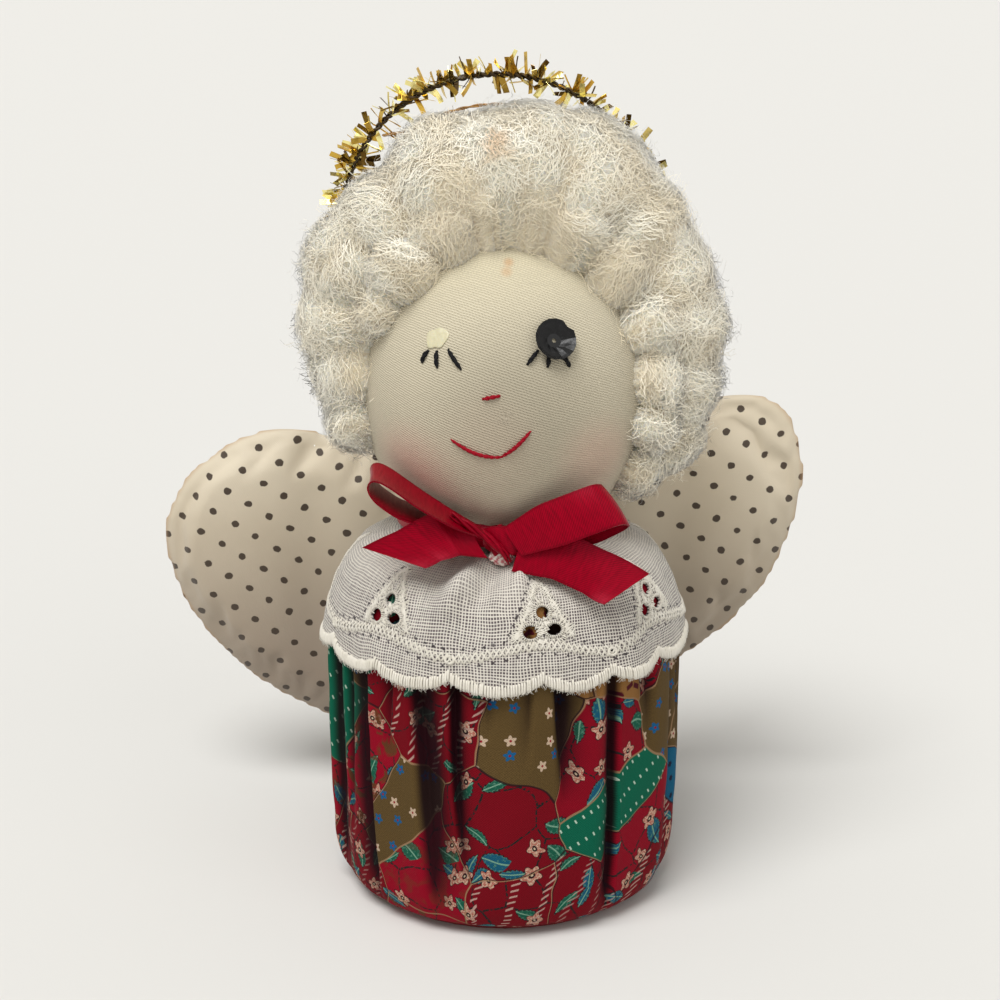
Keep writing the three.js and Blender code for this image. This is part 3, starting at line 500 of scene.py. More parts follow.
# Red ground: cream flowers with a dark eye, toothed green leaves with a dark rim, thin dark stems, dashes
red = mixed(between(kind[1], 0.2, 0.9), srgb(124, 0, 20), srgb(156, 0, 34))
offset, spin = spots(bent, 4.9, 3)
leaf = spun(offset, spin[0] * 6.3)
leaf_bow = leaf[0] * leaf[0] * 0.2 + abs(leaf[1])
leaf_edge = spin[1] * 0.7 + 0.75 - ((leaf[0] + leaf_bow).math("PINGPONG", 0.3) * 0.7 + leaf_bow)
leaf_shown = spin[2] > 0.34
red = mixed(inside(leaf_edge + 0.16) * leaf_shown, red, srgb(26, 20, 30))
leaf_tint = mixed(spin[2] > 0.75, srgb(22, 96, 74), srgb(20, 92, 120))
vein = noise(cloth, 2.2, 2.0)
leaf_tint = mixed(between(vein, 0.52, 0.7), leaf_tint, srgb(86, 140, 118))
rib = greatest(between(abs(leaf[1]), 0.14, 0.04), between(leaf_edge, 0.2, 0.05, 0.0, 0.5))
leaf_tint = mixed(rib, leaf_tint, srgb(130, 176, 150))
stem_away = cells(bent, 6.5, "Distance", "DISTANCE_TO_EDGE")
red = mixed(between(stem_away, 0.03, 0.012) * between(vein, 0.42, 0.5), red, srgb(24, 34, 34))
red = mixed(inside(leaf_edge) * leaf_shown, red, leaf_tint)
offset, spin = spots(bent, 5.3, 1)
bloom, away = flower(offset, 5, 1.22, 0.24, spin[0])
speck = noise(cloth, 3.2, 2.0)
cream = mixed(between(speck, 0.42, 0.6), srgb(186, 112, 96), srgb(218, 184, 160))
for shape, tint in (
    (bloom + 0.14, srgb(40, 12, 20)), (bloom, cream), (0.48 - away, srgb(38, 16, 22)),
    (0.22 - away, srgb(222, 200, 170)),
):
    red = mixed(inside(shape) * (spin[1] > 0.4), red, tint)
dash_place = slanted(bent, -0.35)
dash = between(off_middle(dash_place[0], 4.6), 0.13, 0.1)
dash = dash * between(off_middle(dash_place[1] + dash_place[0], 1.15), 0.2, 0.12)
red = mixed(dash * between(kind[1], 0.3, 0.28), red, srgb(196, 158, 146))
worn = noise(cloth, 0.35, 4.0, Distortion=0.6)
red = mixed(between(worn, 0.5, 0.6) * between(kind[1], 0.78, 0.8), red, srgb(104, 60, 32))

# Blue ground with dark dots
bloom, away = flower(spots(cloth, 2.6, 5, 0.45)[0], 6, 0.5, 0.16, 0.0)
blue = mixed(inside(bloom), srgb(4, 96, 132), srgb(14, 22, 50))

# Green ground with short pale ticks
ticks = slanted(cloth, 0.5)
tick = between(off_middle(ticks[0], 1.25), 0.13, 0.07) * between(off_middle(ticks[1], 3.1), 0.11, 0.07)
green = mixed(tick, srgb(4, 102, 76), srgb(196, 220, 200))

# Olive ground with small blue and cream flowers
offset, spin = spots(cloth, 3.9, 7, 0.8)
bloom, away = flower(offset, 5, 0.72, 0.25, spin[0])
grain = noise(cloth, 5.0, 3.0)
olive = mixed(grain, srgb(72, 54, 26), srgb(118, 94, 54))
olive = mixed(inside(bloom), olive, mixed(spin[1] > 0.5, srgb(24, 96, 146), srgb(210, 184, 158)))
olive = mixed(inside(0.24 - away), olive, srgb(150, 30, 40))

# Tan ground with dark strokes
offset, spin = spots(cloth, 2.7, 9)
stroke = spun(offset, spin[0] * 2.2)
stroke = 0.42 - greatest(abs(stroke[0]), abs(stroke[1]) * 0.45)
tan = mixed(inside(stroke), mixed(grain, srgb(140, 94, 46), srgb(176, 130, 76)), srgb(86, 18, 32))

# The grounds are dealt out over the patches, with seam lines, the weave, and shadow deep in the folds
whole_print = red
for low, ground in ((0.56, blue), (0.68, green), (0.78, olive), (0.92, tan)):
    whole_print = mixed(kind[0] > low, whole_print, ground)
seam_away = cells(patch_place, PATCH_SIZE, "Distance", "DISTANCE_TO_EDGE") * PATCH_SIZE
seam_tint = mixed(kind[2] > 0.5, srgb(168, 132, 98), srgb(34, 12, 22))
whole_print = mixed(between(seam_away, 0.2, 0.08) * 0.85, whole_print, seam_tint)
weave = ridges(cloth[0], COTTON_YARN_PITCH) * ridges(cloth[1], COTTON_YARN_PITCH) * 0.25 + 0.5
whole_print = mixed(weave * 0.55, whole_print, BLACK)
whole_print = mixed(
    between(attribute(cotton_finish, "crease"), 0.03, 0.62, 0.0, 0.94), whole_print, FOLD_SHADOW)
painted(cotton_finish, whole_print, weave, 0.06)


def thickened(piece, thickness):
    """Gives a sheet of cloth its thickness in millimetres, inwards."""
    wall = piece.modifiers.new("cloth_thickness", "SOLIDIFY")
    wall.thickness = thickness * MM
    wall.offset = -1


dress = piece_from(
    "dress_cloth", dress_points, [quads(DRESS_ROWS, DRESS_COLUMNS)], cotton_finish,
    cloth=dress_cloth, crease=np.clip(deep * strength / 1.6, 0, 1))
thickened(dress, 0.4)
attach(dress, "body")
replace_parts(dress, "dress")

# Lace collar
# White cotton voile, eyelet embroidered, with a satin stitched scalloped edge. It is a strip that is
# gathered at the neck on its own thread and falls over the shoulders of the dress like a cape.
COLLAR_PROFILE = [
    (10.5, 53.8), (14.5, 53.3), (18.2, 52.45), (21.3, 50.7), (23.0, 48.6), (24.2, 46.2), (25.7, 41.6),
    (26.3, 37.4), (26.5, 35),
]
COLLAR_NOTCHES = np.array([-42.5, -17.3, 11.4, 34.2, 55.9, 82, 108, 134, 160, 186, 212, 238, 264, 291])
COLLAR_ROWS, COLLAR_COLUMNS = 84, 524
DEGREE = math.radians(1) * 25.2  # millimetres along the lace in one degree of turn
VOILE_PITCH = 0.42
# Two stitched lines spread below the neck, over each trio of eyelets
TENT_TOP, TENT_SLOPE = 9.6, 0.46
# Eyelets, a trio at every second notch and one between: turn in degrees, drop, half width and half height
EYELET_TRIO = [(-3.4, 17.4, 1.12, 0.9), (4.2, 17.2, 1.1, 0.8), (0.9, 14.8, 0.95, 0.86)]
EYELETS = np.array(
    [(notch + turn, *size) for notch in COLLAR_NOTCHES[::2] for turn, *size in EYELET_TRIO]
    + [(notch + 0.2, 21.4, 0.42, 0.34) for notch in COLLAR_NOTCHES[1::2]])


def unit(ways, least=0.0):
    """Each way made one long: divided by its length, to which least is added where a way can be nothing."""
    return ways / (np.linalg.norm(ways, axis=-1, keepdims=True) + least)


collar_line = rounded(COLLAR_PROFILE, 160, 5)
collar_drop = lengths_along(collar_line)
collar_slope = unit(np.gradient(collar_line, axis=0))


def scallop_share(turn):
    """How many notches lie before each turn, with the share of the way to the next one."""
    notches = np.concatenate([COLLAR_NOTCHES, [COLLAR_NOTCHES[0] + 360]])
    spread = (np.asarray(turn) - notches[0]) % 360 + notches[0]
    return np.interp(spread, notches, np.arange(len(notches)))


def edge_drop(turn):
    """How far down the scalloped edge lies: 25.6 mm, less a notch 1.7 mm deep that narrows to a point."""
    share = scallop_share(turn) % 1
    return 25.6 + 1.7 * (np.abs(np.sin(np.pi * share)) ** 0.6 - 0.8)


def swag_drop(turn):
    """The zigzag line between eyelets, a cosine: low at every second notch, and high at the eyelets."""
    return 20.2 - 1.0 * np.cos(np.pi * scallop_share(turn))


def on_collar(turn, drop, lift=0.0):
    """A place on the lace, from a turn in degrees, a drop from the neck in millimetres, and a lift.

    The cape's profile is turned about the axis. Soft waves that grow down the cape, two folds in front and
    the dips beside them push it out, square to its slope. Behind, it is drawn 0.9 mm out to the wings' tack
    stitch.
    """
    turn, drop = np.broadcast_arrays(np.asarray(turn, float), np.asarray(drop, float))
    radius, height = (np.interp(drop, collar_drop, part) for part in collar_line.T)
    slope_r, slope_z = (np.interp(drop, collar_drop, part) for part in collar_slope.T)
    grown = np.clip(drop / 26, 0, 1) ** 1.5
    angle = np.radians(turn)
    wave = 0.28 * np.sin(9 * angle + 0.8 + 0.03 * drop) + 0.16 * np.sin(17 * angle + 2)
    wave = wave - 0.22 * np.abs(np.cos(np.pi * scallop_share(turn))) ** 3
    fold_line = -14 - 1.0 * (drop - 9)
    fold = 2.2 * bell(turn - fold_line, 4.6) * bell(drop - 11, 4.5)
    fold = fold + 1.3 * bell(turn - 6 + 0.5 * (drop - 9), 3.4) * bell(drop - 9.5, 3)
    dip = -0.9 * bell(turn - fold_line - 9, 3.2) * bell(drop - 10.5, 4)
    dip = dip - 0.4 * bell(turn - fold_line + 12, 5) * bell(drop - 12, 5)
    ruffle = 0.3 * np.sin(46 * angle + 1.3 * np.sin(5 * angle)) * np.exp(-drop / 4)
    tacked = 0.9 * np.exp(-(1 + np.cos(angle)) / 0.05) * bell(drop - 21.2, 2.6)
    out = lift + wave * grown + fold + dip + ruffle + tacked
    radius, height = radius - slope_z * out, height + slope_r * out
    return np.stack([radius * np.sin(angle), -radius * np.cos(angle), height], -1)


# The grid's points beside the edge of an eyelet are drawn onto it, and the squares inside it are left open
columns = np.arange(COLLAR_COLUMNS) * 360 / COLLAR_COLUMNS - 180
across = np.tile(columns, (COLLAR_ROWS, 1))
drop = (np.linspace(0, 1, COLLAR_ROWS) ** 0.72)[:, None] * edge_drop(columns)
hollow = np.zeros((COLLAR_ROWS, COLLAR_COLUMNS), bool)
for hole_turn, hole_drop, half_width, half_height in EYELETS:
    side = ((across - hole_turn + 180) % 360 - 180) * DEGREE / half_width
    down = (drop - hole_drop) / half_height
    away = np.hypot(side, down)
    near = np.abs(away - 1) < 0.17 / half_height
    across[near] += (side / away - side)[near] * half_width / DEGREE
    drop[near] += (down / away - down)[near] * half_height
    hollow |= (away < 1.0) | near
squares = quads(COLLAR_ROWS, COLLAR_COLUMNS)
collar_faces = squares[~hollow.ravel()[squares].all(1)]
collar_cloth = np.stack([across * DEGREE, drop, 0 * drop], -1)
collar_dense = np.clip(1 - (edge_drop(across) - drop) / 1.4, 0, 1)
notch_away = (across[..., None] - COLLAR_NOTCHES[::2] + 180) % 360 - 180
beside_trio = np.take_along_axis(notch_away, np.abs(notch_away).argmin(-1)[..., None], -1)[..., 0] * DEGREE

lace_finish, _ = finish_of("white_eyelet_voile", srgb(228, 226, 221), 0.85, Sheen_Weight=0.2)
cloth = attribute(lace_finish, "cloth", "Vector")
uneven = noise(cloth, 1.3, 3.0)


def open_share(part):
    """1 in the gaps between the voile's threads along one way. Their width differs by thread and place."""
    number = (part / VOILE_PITCH).math("FLOOR")
    thick = Signal(added(part.tree, "TexWhiteNoise", {"W": number}, noise_dimensions="1D").outputs["Value"])
    line = abs((part * (math.pi / VOILE_PITCH)).math("SINE"))
    return between(line - (uneven * -0.5 + 0.72 + (thick * 0.3 - 0.15)), 0.0, 0.25)


def joined(side, up):
    """A flat vector of two numbers."""
    return Signal(added(side.tree, "CombineXYZ", {0: side, 1: up}).outputs[0])


def pin_row(along, aside, pitch, middle, size):
    """Pin holes: 1 within size of where aside is at its middle and along is at a multiple of the pitch."""
    return between(distance(joined(off_middle(along, pitch) * pitch, aside - middle)), size, size * 0.6)


pulled = vectors("MULTIPLY_ADD", noise(cloth, 0.13, 1.5, "Color"), (1.6, 1.6, 0), cloth)
gaps = open_share(pulled[0]) * open_share(pulled[1]) * between(attribute(lace_finish, "dense"), 0.4, 0.1)
gaps = gaps * between(cloth[1], 10.0, 16.0, 0.65, 1.0)
along, swag = uneven * 1.6 + cloth[0], uneven * 0.5 + attribute(lace_finish, "swag")
tent = abs(attribute(lace_finish, "beside")) - (cloth[1] - TENT_TOP) * TENT_SLOPE
tent_pins = pin_row(uneven * 1.2 + cloth[1], tent, 1.1, 0.75, 0.27)
tent_pins = tent_pins * between(cloth[1], 9.0, 9.2) * between(cloth[1], 18.6, 18.4)
pins = greatest(pin_row(along, swag, 1.4, -0.95, 0.26), pin_row(along, swag, 1.7, 1.4, 0.25), tent_pins)
shade = mixed(gaps, srgb(211, 205, 194), srgb(80, 68, 70))
shade = mixed(pins * 0.95, shade, srgb(44, 34, 38))
shade = mixed(between(uneven, 0.55, 0.8, 0.0, 0.3), shade, srgb(212, 207, 200))
painted(lace_finish, shade, 1.0 - greatest(gaps, pins), 0.12)

collar = piece_from(
    "lace_collar_cloth", on_collar(across, drop), [collar_faces], lace_finish,
    cloth=collar_cloth, dense=collar_dense, swag=drop - swag_drop(across), beside=beside_trio)
thickened(collar, 0.3)
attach(collar, "body")
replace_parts(collar, "lace_collar")


def each(count, rows, columns):
    """The tables of corners of count like grids, one after another. Each is ringed and has lids."""
    first = np.arange(count)[:, None, None] * rows * columns
    return [
        (first + table).reshape(-1, table.shape[1])
        for table in (quads(rows, columns), *lids(rows, columns))]


def threads(lines, radius, sides=4, guide=(0.31, 0.52, 0.79)):
    """Round threads with closed ends along lines of shape (thread, step, 3): their points and tables.

    At each step a ring stands across the line: line + radius x (cos x across + sin x (across x along)).
    """
    along = unit(np.gradient(lines, axis=1), 1e-9)
    guide = np.broadcast_to(np.asarray(guide, float), lines.shape)
    across = unit(guide - along * (guide * along).sum(2, keepdims=True), 1e-9)
    other = np.cross(across, along)
    spin = np.arange(sides) * 2 * np.pi / sides
    reach = np.broadcast_to(np.asarray(radius, float), lines.shape[:2])[..., None, None]
    ring = np.cos(spin)[:, None] * across[:, :, None] + np.sin(spin)[:, None] * other[:, :, None]
    return lines[:, :, None] + reach * ring, each(*lines.shape[:2], sides)


# Embroidery: satin stitches over the edge, round each eyelet and in rays above it, and a zigzag line
EDGE_STITCHES, EYELET_STITCHES, EYELET_RAYS, LOOSE_FIBRES = 440, 26, 46, 1100
rng = np.random.default_rng(11)


def stitches(turn_a, drop_a, turn_b, drop_b, high, steps=5):
    """Short threads from a to b on the lace. Between, they rise by high x sin of the share of the way."""
    share = np.linspace(0, 1, steps)
    ends = np.broadcast_arrays(turn_a, drop_a, turn_b, drop_b)
    turn_a, drop_a, turn_b, drop_b = (np.ravel(part)[:, None] for part in ends)
    lift = 0.02 + high * np.sin(np.pi * share)
    return on_collar(turn_a + (turn_b - turn_a) * share, drop_a + (drop_b - drop_a) * share, lift)


def round_hole(holes, angle, reach):
    """The turn and drop of places round eyelets, at an angle from straight down and reach past the edge."""
    turn, drop, half_width, half_height = holes.T[..., None]
    return turn + np.sin(angle) * (half_width + reach) / DEGREE, drop + np.cos(angle) * (half_height + reach)


edge_turn = np.arange(EDGE_STITCHES) * 360 / EDGE_STITCHES + rng.normal(0, 0.08, EDGE_STITCHES)
edge_low = edge_drop(edge_turn) + rng.uniform(-0.02, 0.12, EDGE_STITCHES)
edge_high = edge_drop(edge_turn) - 1.5 + rng.normal(0, 0.1, EDGE_STITCHES)
edge_lines = stitches(edge_turn, edge_high, edge_turn + rng.normal(0, 0.1, EDGE_STITCHES), edge_low, 0.16)
rim_turn = np.linspace(0, 2 * np.pi, EYELET_STITCHES, endpoint=False)
rim_reach = np.where(EYELETS[:, 2:3] > 0.5, 0.36, 0.3)
rim_lines = stitches(*round_hole(EYELETS, rim_turn, 0.02), *round_hole(EYELETS, rim_turn, rim_reach), 0.2)
big = EYELETS[EYELETS[:, 2] > 0.5]
ray_turn = rng.uniform(0, 2 * np.pi, (len(big), EYELET_RAYS))
ray_from, ray_to = rng.uniform(0.3, 0.6, ray_turn.shape), rng.uniform(0.8, 1.7, ray_turn.shape)
fine_lines = [stitches(*round_hole(big, ray_turn, ray_from), *round_hole(big, ray_turn + 0.15, ray_to), 0.1)]
tent_drop = np.linspace(9.8, 18.4, 34)
for side in (-1, 1):
    tent_turn = COLLAR_NOTCHES[::2, None] + 0.9 + side * TENT_SLOPE * (tent_drop - TENT_TOP) / DEGREE
    shake = rng.normal(0, 0.2, (2, *tent_turn.shape))
    start, end = tent_turn - (0.5 + shake[1]) / DEGREE, tent_turn + (0.45 + shake[1]) / DEGREE
    for lean in (-0.5, 0.5):
        fine_lines.append(stitches(start, tent_drop - lean + shake[0], end, tent_drop + lean, 0.1))
swag_turn = np.arange(0, 360, 3.6) + 1.8 * np.arange(3)[:, None]
for side in (-1, 1):
    swing = side * 0.62 * np.array([[-1], [1], [-1]])
    swag_line = swag_drop(swag_turn) + swing + rng.normal(0, 0.1, swag_turn.shape)
    for k in range(2):
        for beside in (-0.09, 0.09):
            low, high = swag_line[k] + beside, swag_line[k + 1] + beside
            fine_lines.append(stitches(swag_turn[k], low, swag_turn[k + 1], high, 0.12))
fuzz_turn = rng.uniform(0, 360, LOOSE_FIBRES)
fuzz_lines = stitches(
    fuzz_turn, edge_drop(fuzz_turn) - 0.3, fuzz_turn + rng.normal(0, 0.9, LOOSE_FIBRES),
    edge_drop(fuzz_turn) + rng.uniform(0.15, 0.6, LOOSE_FIBRES), rng.uniform(-0.1, 0.3, (LOOSE_FIBRES, 1)),
    steps=4)
lace_threads = [
    threads(edge_lines, 0.17, 5), threads(rim_lines, 0.1), threads(np.concatenate(fine_lines), 0.075),
    threads(fuzz_lines, 0.03, 3),
]
firsts = np.cumsum([0] + [points.size // 3 for points, _ in lace_threads])
embroidery_finish = mottled(
    "cotton_embroidery_thread", ((236, 232, 222), 0.6), (208, 202, 186), (232, 227, 217), (0.7, 2.0),
    Sheen_Weight=0.25)
lace_embroidery = piece_from(
    "lace_embroidery", np.concatenate([points.reshape(-1, 3) for points, _ in lace_threads]),
    [table + first for (_, tables), first in zip(lace_threads, firsts) for table in tables],
    embroidery_finish)
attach(lace_embroidery, "body")

# Head: filling and cover
# A ball of fibre tied into a circle of cream ribbed cotton. The cover is drawn in below to a neck, which
# plugs into the shoulders and is bound with thread.
HEAD_MIDDLE = np.array([0.0, 0.0, 74.0])
HEAD_RADIUS = 20.4
HEAD_HALF_HEIGHT = 22.8
HEAD_PROFILE = [(0.3, 96.8)] + [
    (HEAD_RADIUS * math.sin(math.radians(a)), 74 + HEAD_HALF_HEIGHT * math.cos(math.radians(a)))
    for a in range(6, 156, 6)
] + [(7.6, 52.3), (7.3, 50.5), (7.2, 46.5), (5.5, 45.3), (0.3, 45.2)]
NECK_GATHERS = 31
RIB_PITCH = 0.36
# Painted shade and painted light between two heights: where it starts, where it is full, how strong it is,
# and its colour
HEAD_PAINTED_LIGHT_AND_SHADE = [
    (88.0, 66.0, 0.34, (160, 148, 128)), (70.0, 56.0, 0.24, (178, 154, 140)),
    (84.0, 96.0, 0.3, (220, 210, 174)),
]
# Soft round patches, for painted shade round the nose, the blush and two stains: middle, size, strength,
# colour
HEAD_PATCHES = [
    ((1.5, 1, 0), 17, 0.38, (120, 112, 96)), ((-15, -10, 0), 10, 0.42, (208, 158, 142)),
    ((14.5, -8, 0), 9, 0.32, (208, 158, 142)), ((0.5, 22.2, 0), 1.2, 0.5, (196, 140, 80)),
    ((0.2, 20.6, 0), 1.3, 0.4, (200, 150, 96)), ((-2.5, -4, 0), 10, 0.1, (216, 176, 158)),
]

head_points = turned(rounded(HEAD_PROFILE, 130, 3), 176)
below = np.clip((62 - head_points[..., 2]) / 9, 0, 1)[..., None]
gathers = np.sin(NECK_GATHERS * np.arctan2(head_points[..., 0], -head_points[..., 1]))[..., None]
head_points[..., :2] *= 1 + 0.018 * gathers * below + 0.0035 * ripple(head_points, 14, 5)[..., None]
direction = unit(head_points - HEAD_MIDDLE)
apart = np.arccos(np.clip(-direction[..., 1:2], -1, 1))
head_cloth = direction[..., [0, 2, 1]] * 21.4 * apart / np.maximum(np.sin(apart), 0.05)

cover_finish, place = finish_of("cream_ribbed_cotton", srgb(224, 214, 192), 0.9, Sheen_Weight=0.15)
cloth = attribute(cover_finish, "cloth", "Vector")
ribs = slanted(cloth, 0.33)
rib = (ribs[1] * (2 * math.pi / RIB_PITCH) + noise(cloth, 0.9, 2.0) * 5.0).math("SINE")
dash = (ribs[0] * (2 * math.pi / 0.52) + ribs[1] * (2 * math.pi / 0.72)).math("SINE")
rib = rib * between(dash, -0.9, 0.1, 0.35, 1.0) * 0.5 + 0.5
cream = mixed(rib, srgb(178, 168, 142), srgb(219, 210, 186))
# Painted shade makes the face darker and greyer towards the neck, and painted light makes its top lighter and
# yellower
for start, full, most, tint in HEAD_PAINTED_LIGHT_AND_SHADE:
    cream = mixed(between(place[2], start, full, 0.0, most), cream, srgb(*tint))
flat_cloth = vectors("MULTIPLY", cloth, (1, 1, 0))
for middle, size, most, tint in HEAD_PATCHES:
    cream = mixed(between(distance(flat_cloth, middle), size, size * 0.15, 0.0, most), cream, srgb(*tint))
painted(cover_finish, cream, rib, 0.09)

head_cover = grid_piece("head_cover_cloth", head_points, cover_finish, cloth=head_cloth)
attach(head_cover, "head")
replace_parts(head_cover, "head_cover")

INNER_PROFILE = [(0.3, 95.7)] + [(r - 1.1, 74 + (z - 74) * 0.95) for r, z in HEAD_PROFILE[1:25]]
INNER_PROFILE += [(6.2, 52), (6.0, 46.6), (0.3, 46.4)]
inner_points = turned(rounded(INNER_PROFILE, 70, 2), 80)
inner_points[..., :2] *= 1 - 0.01 * (1 + ripple(inner_points, 6, 6)[..., None])
head_wadding = grid_piece("head_wadding", inner_points, wadding_finish)
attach(head_wadding, "head")
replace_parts(head_wadding, "head_filling")

# Face: lashes, nose and mouth
# Embroidery thread: three black lash stitches at each eye, one red nose stitch, and a mouth of two red
# stitches. Each path is given in shares of the head's radius sideways and of its half height upwards.
LASHES = {
    "lash_left_outer": [(-0.493, 0.358), (-0.518, 0.325), (-0.54, 0.281)],
    "lash_left_middle": [(-0.44, 0.362), (-0.441, 0.315), (-0.437, 0.262)],
    "lash_left_inner": [(-0.37, 0.376), (-0.33, 0.325), (-0.28, 0.264)],
    "lash_right_inner": [(0.212, 0.378), (0.174, 0.34), (0.138, 0.298)],
    "lash_right_middle": [(0.276, 0.35), (0.274, 0.316), (0.271, 0.28)],
    "lash_right_outer": [(0.356, 0.352), (0.388, 0.312), (0.415, 0.272)],
}
NOSE_AND_MOUTH = {
    "nose_stitch": [(-0.15, 0.105), (-0.09, 0.119), (-0.03, 0.127)],
    "mouth_stitch_left": [(-0.36, -0.14), (-0.245, -0.203), (-0.11, -0.245), (-0.01, -0.24)],
    "mouth_stitch_right": [(-0.03, -0.24), (0.05, -0.192), (0.118, -0.128), (0.168, -0.076)],
}
FACE_STEPS = 26
PLY_TWIST = 1.5  # millimetres for one turn of the plies
TWO_PLIES = np.array([[0.0], [np.pi]])


def on_head(side, up, lift=0.0):
    """A place on the front of the head, from shares of its radius sideways and its half height upwards."""
    side, up = np.broadcast_arrays(np.asarray(side, float), np.asarray(up, float))
    front = np.sqrt(np.clip(1 - side**2 - up**2, 0, 1))
    grown = 1 + np.asarray(lift) / HEAD_RADIUS
    place = np.stack([side * HEAD_RADIUS, -front * HEAD_RADIUS, up * HEAD_HALF_HEIGHT], -1)
    return HEAD_MIDDLE + place * grown[..., None]


def face_stitch(path, radius):
    """Two twisted plies along a stitch on the face, which dives into the cloth at both ends.

    It is lifted by radius x (1.7 x sin^0.3 of the way - 0.8).
    """
    line = rounded(path, FACE_STEPS, 45)
    way = np.linspace(0, 1, FACE_STEPS)
    lift = radius * (1.7 * np.sin(np.pi * way) ** 0.3 - 0.8)
    wind = TWO_PLIES + 2 * np.pi * way * lengths_along(line)[-1] * 20 / PLY_TWIST
    along = unit(np.gradient(line, axis=0))
    side = 0.3 * radius * np.cos(wind) / HEAD_RADIUS
    return on_head(
        line[:, 0] - along[:, 1] * side, line[:, 1] + along[:, 0] * side,
        lift + 0.3 * radius * np.sin(wind))


def dyed_thread(name, low, high):
    """The finish of dyed thread: fine darker and lighter lengths."""
    return mottled(name, (high, 0.6), low, high, (4.0, 3.0), 0.04, Specular_IOR_Level=0.15)


black_thread = dyed_thread("black_embroidery_thread", (6, 6, 8), (22, 21, 24))
red_thread = dyed_thread("red_embroidery_thread", (112, 0, 18), (166, 2, 32))
thin_ends = np.sin(np.pi * np.linspace(0.03, 0.97, FACE_STEPS)) ** 0.5
for paths, radius, finish in ((LASHES, 0.3, black_thread), (NOSE_AND_MOUTH, 0.27, red_thread)):
    for name, path in paths.items():
        points, tables = threads(
            face_stitch(path, radius), radius * 0.78 * thin_ends, 7, guide=(0.05, 1, 0.1))
        stitch = piece_from(name + "_thread", points, tables, finish)
        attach(stitch, "head")
        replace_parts(stitch, name)

# Face: sequin and glue mark
# The eye is a black faceted cup sequin of glossy plastic, glued on. The other is lost, and its dried glue
# shows. The sequin's profile is given as radius and height, round its face and back.
EYE = (0.309, 0.421)
GLUE_MARK = (-0.44, 0.43)
SEQUIN_PROFILE = np.array([
    (0.3, 0.1), (0.95, 0.1), (1.6, 0.42), (2.35, 0.72), (2.78, 0.98), (2.84, 0.9), (2.4, 0.58), (1.6, 0.26),
    (0.95, -0.06), (0.3, -0.04),
])
SEQUIN_FACETS = 18
MARK_SHARES = np.array([0.03, 0.25, 0.5, 0.72, 0.88, 0.97, 1.0, 0.8])[:, None]
MARK_HEIGHTS = np.array([0.05, 0.06, 0.03, 0.05, 0.02, -0.01, -0.07, -0.2])[:, None]


def standing(points, side, up, lift):
    """Points round the origin, +Z outward, set square on the head's surface at shares of side and up."""
    out = unit(on_head(side, up, 1.0) - on_head(side, up, 0.0))
    right = unit(-np.cross(out, [0, 0, 1.0]))
    return on_head(side, up, lift) + points @ np.stack([right, np.cross(out, right), out])


facet = np.arange(SEQUIN_FACETS) * 2 * np.pi / SEQUIN_FACETS
reach = SEQUIN_PROFILE[:, :1] * np.ones(SEQUIN_FACETS)
reach[2:8] *= 1 - 0.05 * (bell(facet - 0.75, 0.2) * 3)
zigzag = 0.06 * np.where(np.arange(SEQUIN_FACETS) % 2, 1, -1)
tall = SEQUIN_PROFILE[:, 1:] + zigzag * (SEQUIN_PROFILE[:, :1] > 1.2)
sequin_points = np.stack([reach * np.cos(facet), reach * np.sin(facet), tall], -1)
sequin_finish, place = finish_of("black_glossy_plastic", srgb(8, 8, 10), 0.2, Specular_IOR_Level=0.3)
scuff = noise(place, 3.0, 5.0)
painted(
    sequin_finish, mixed(between(scuff, 0.55, 0.75), srgb(7, 7, 9), srgb(24, 23, 25)),
    roughness=between(scuff, 0.4, 0.75, 0.28, 0.5))
sequin_faces = [quads(len(SEQUIN_PROFILE), SEQUIN_FACETS, loop=True)]
sequin = piece_from(
    "cup_sequin", standing(sequin_points, *EYE, 0.15), sequin_faces, sequin_finish, smooth=False)
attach(sequin, "head")
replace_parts(sequin, "eye_sequin")

turn = np.arange(40) * 2 * np.pi / 40
edge = 1.45 * (1 + 0.14 * np.sin(2 * turn + 1) + 0.08 * np.sin(5 * turn))
mark_points = np.stack([
    MARK_SHARES * edge * np.cos(turn), MARK_SHARES * edge * 1.15 * np.sin(turn), MARK_HEIGHTS + 0 * turn,
], -1)
glue_finish = mottled(
    "dried_clear_glue", ((214, 208, 170), 0.35), (196, 190, 156), (212, 205, 175), (1.6, 4.0), 0.12,
    Subsurface_Weight=0.3, Subsurface_Radius=(0.001, 0.0008, 0.0005))
glue_mark = grid_piece("glue_mark", standing(mark_points, *GLUE_MARK, 0.05), glue_finish)
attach(glue_mark, "head")
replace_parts(glue_mark, "eye_glue_mark")

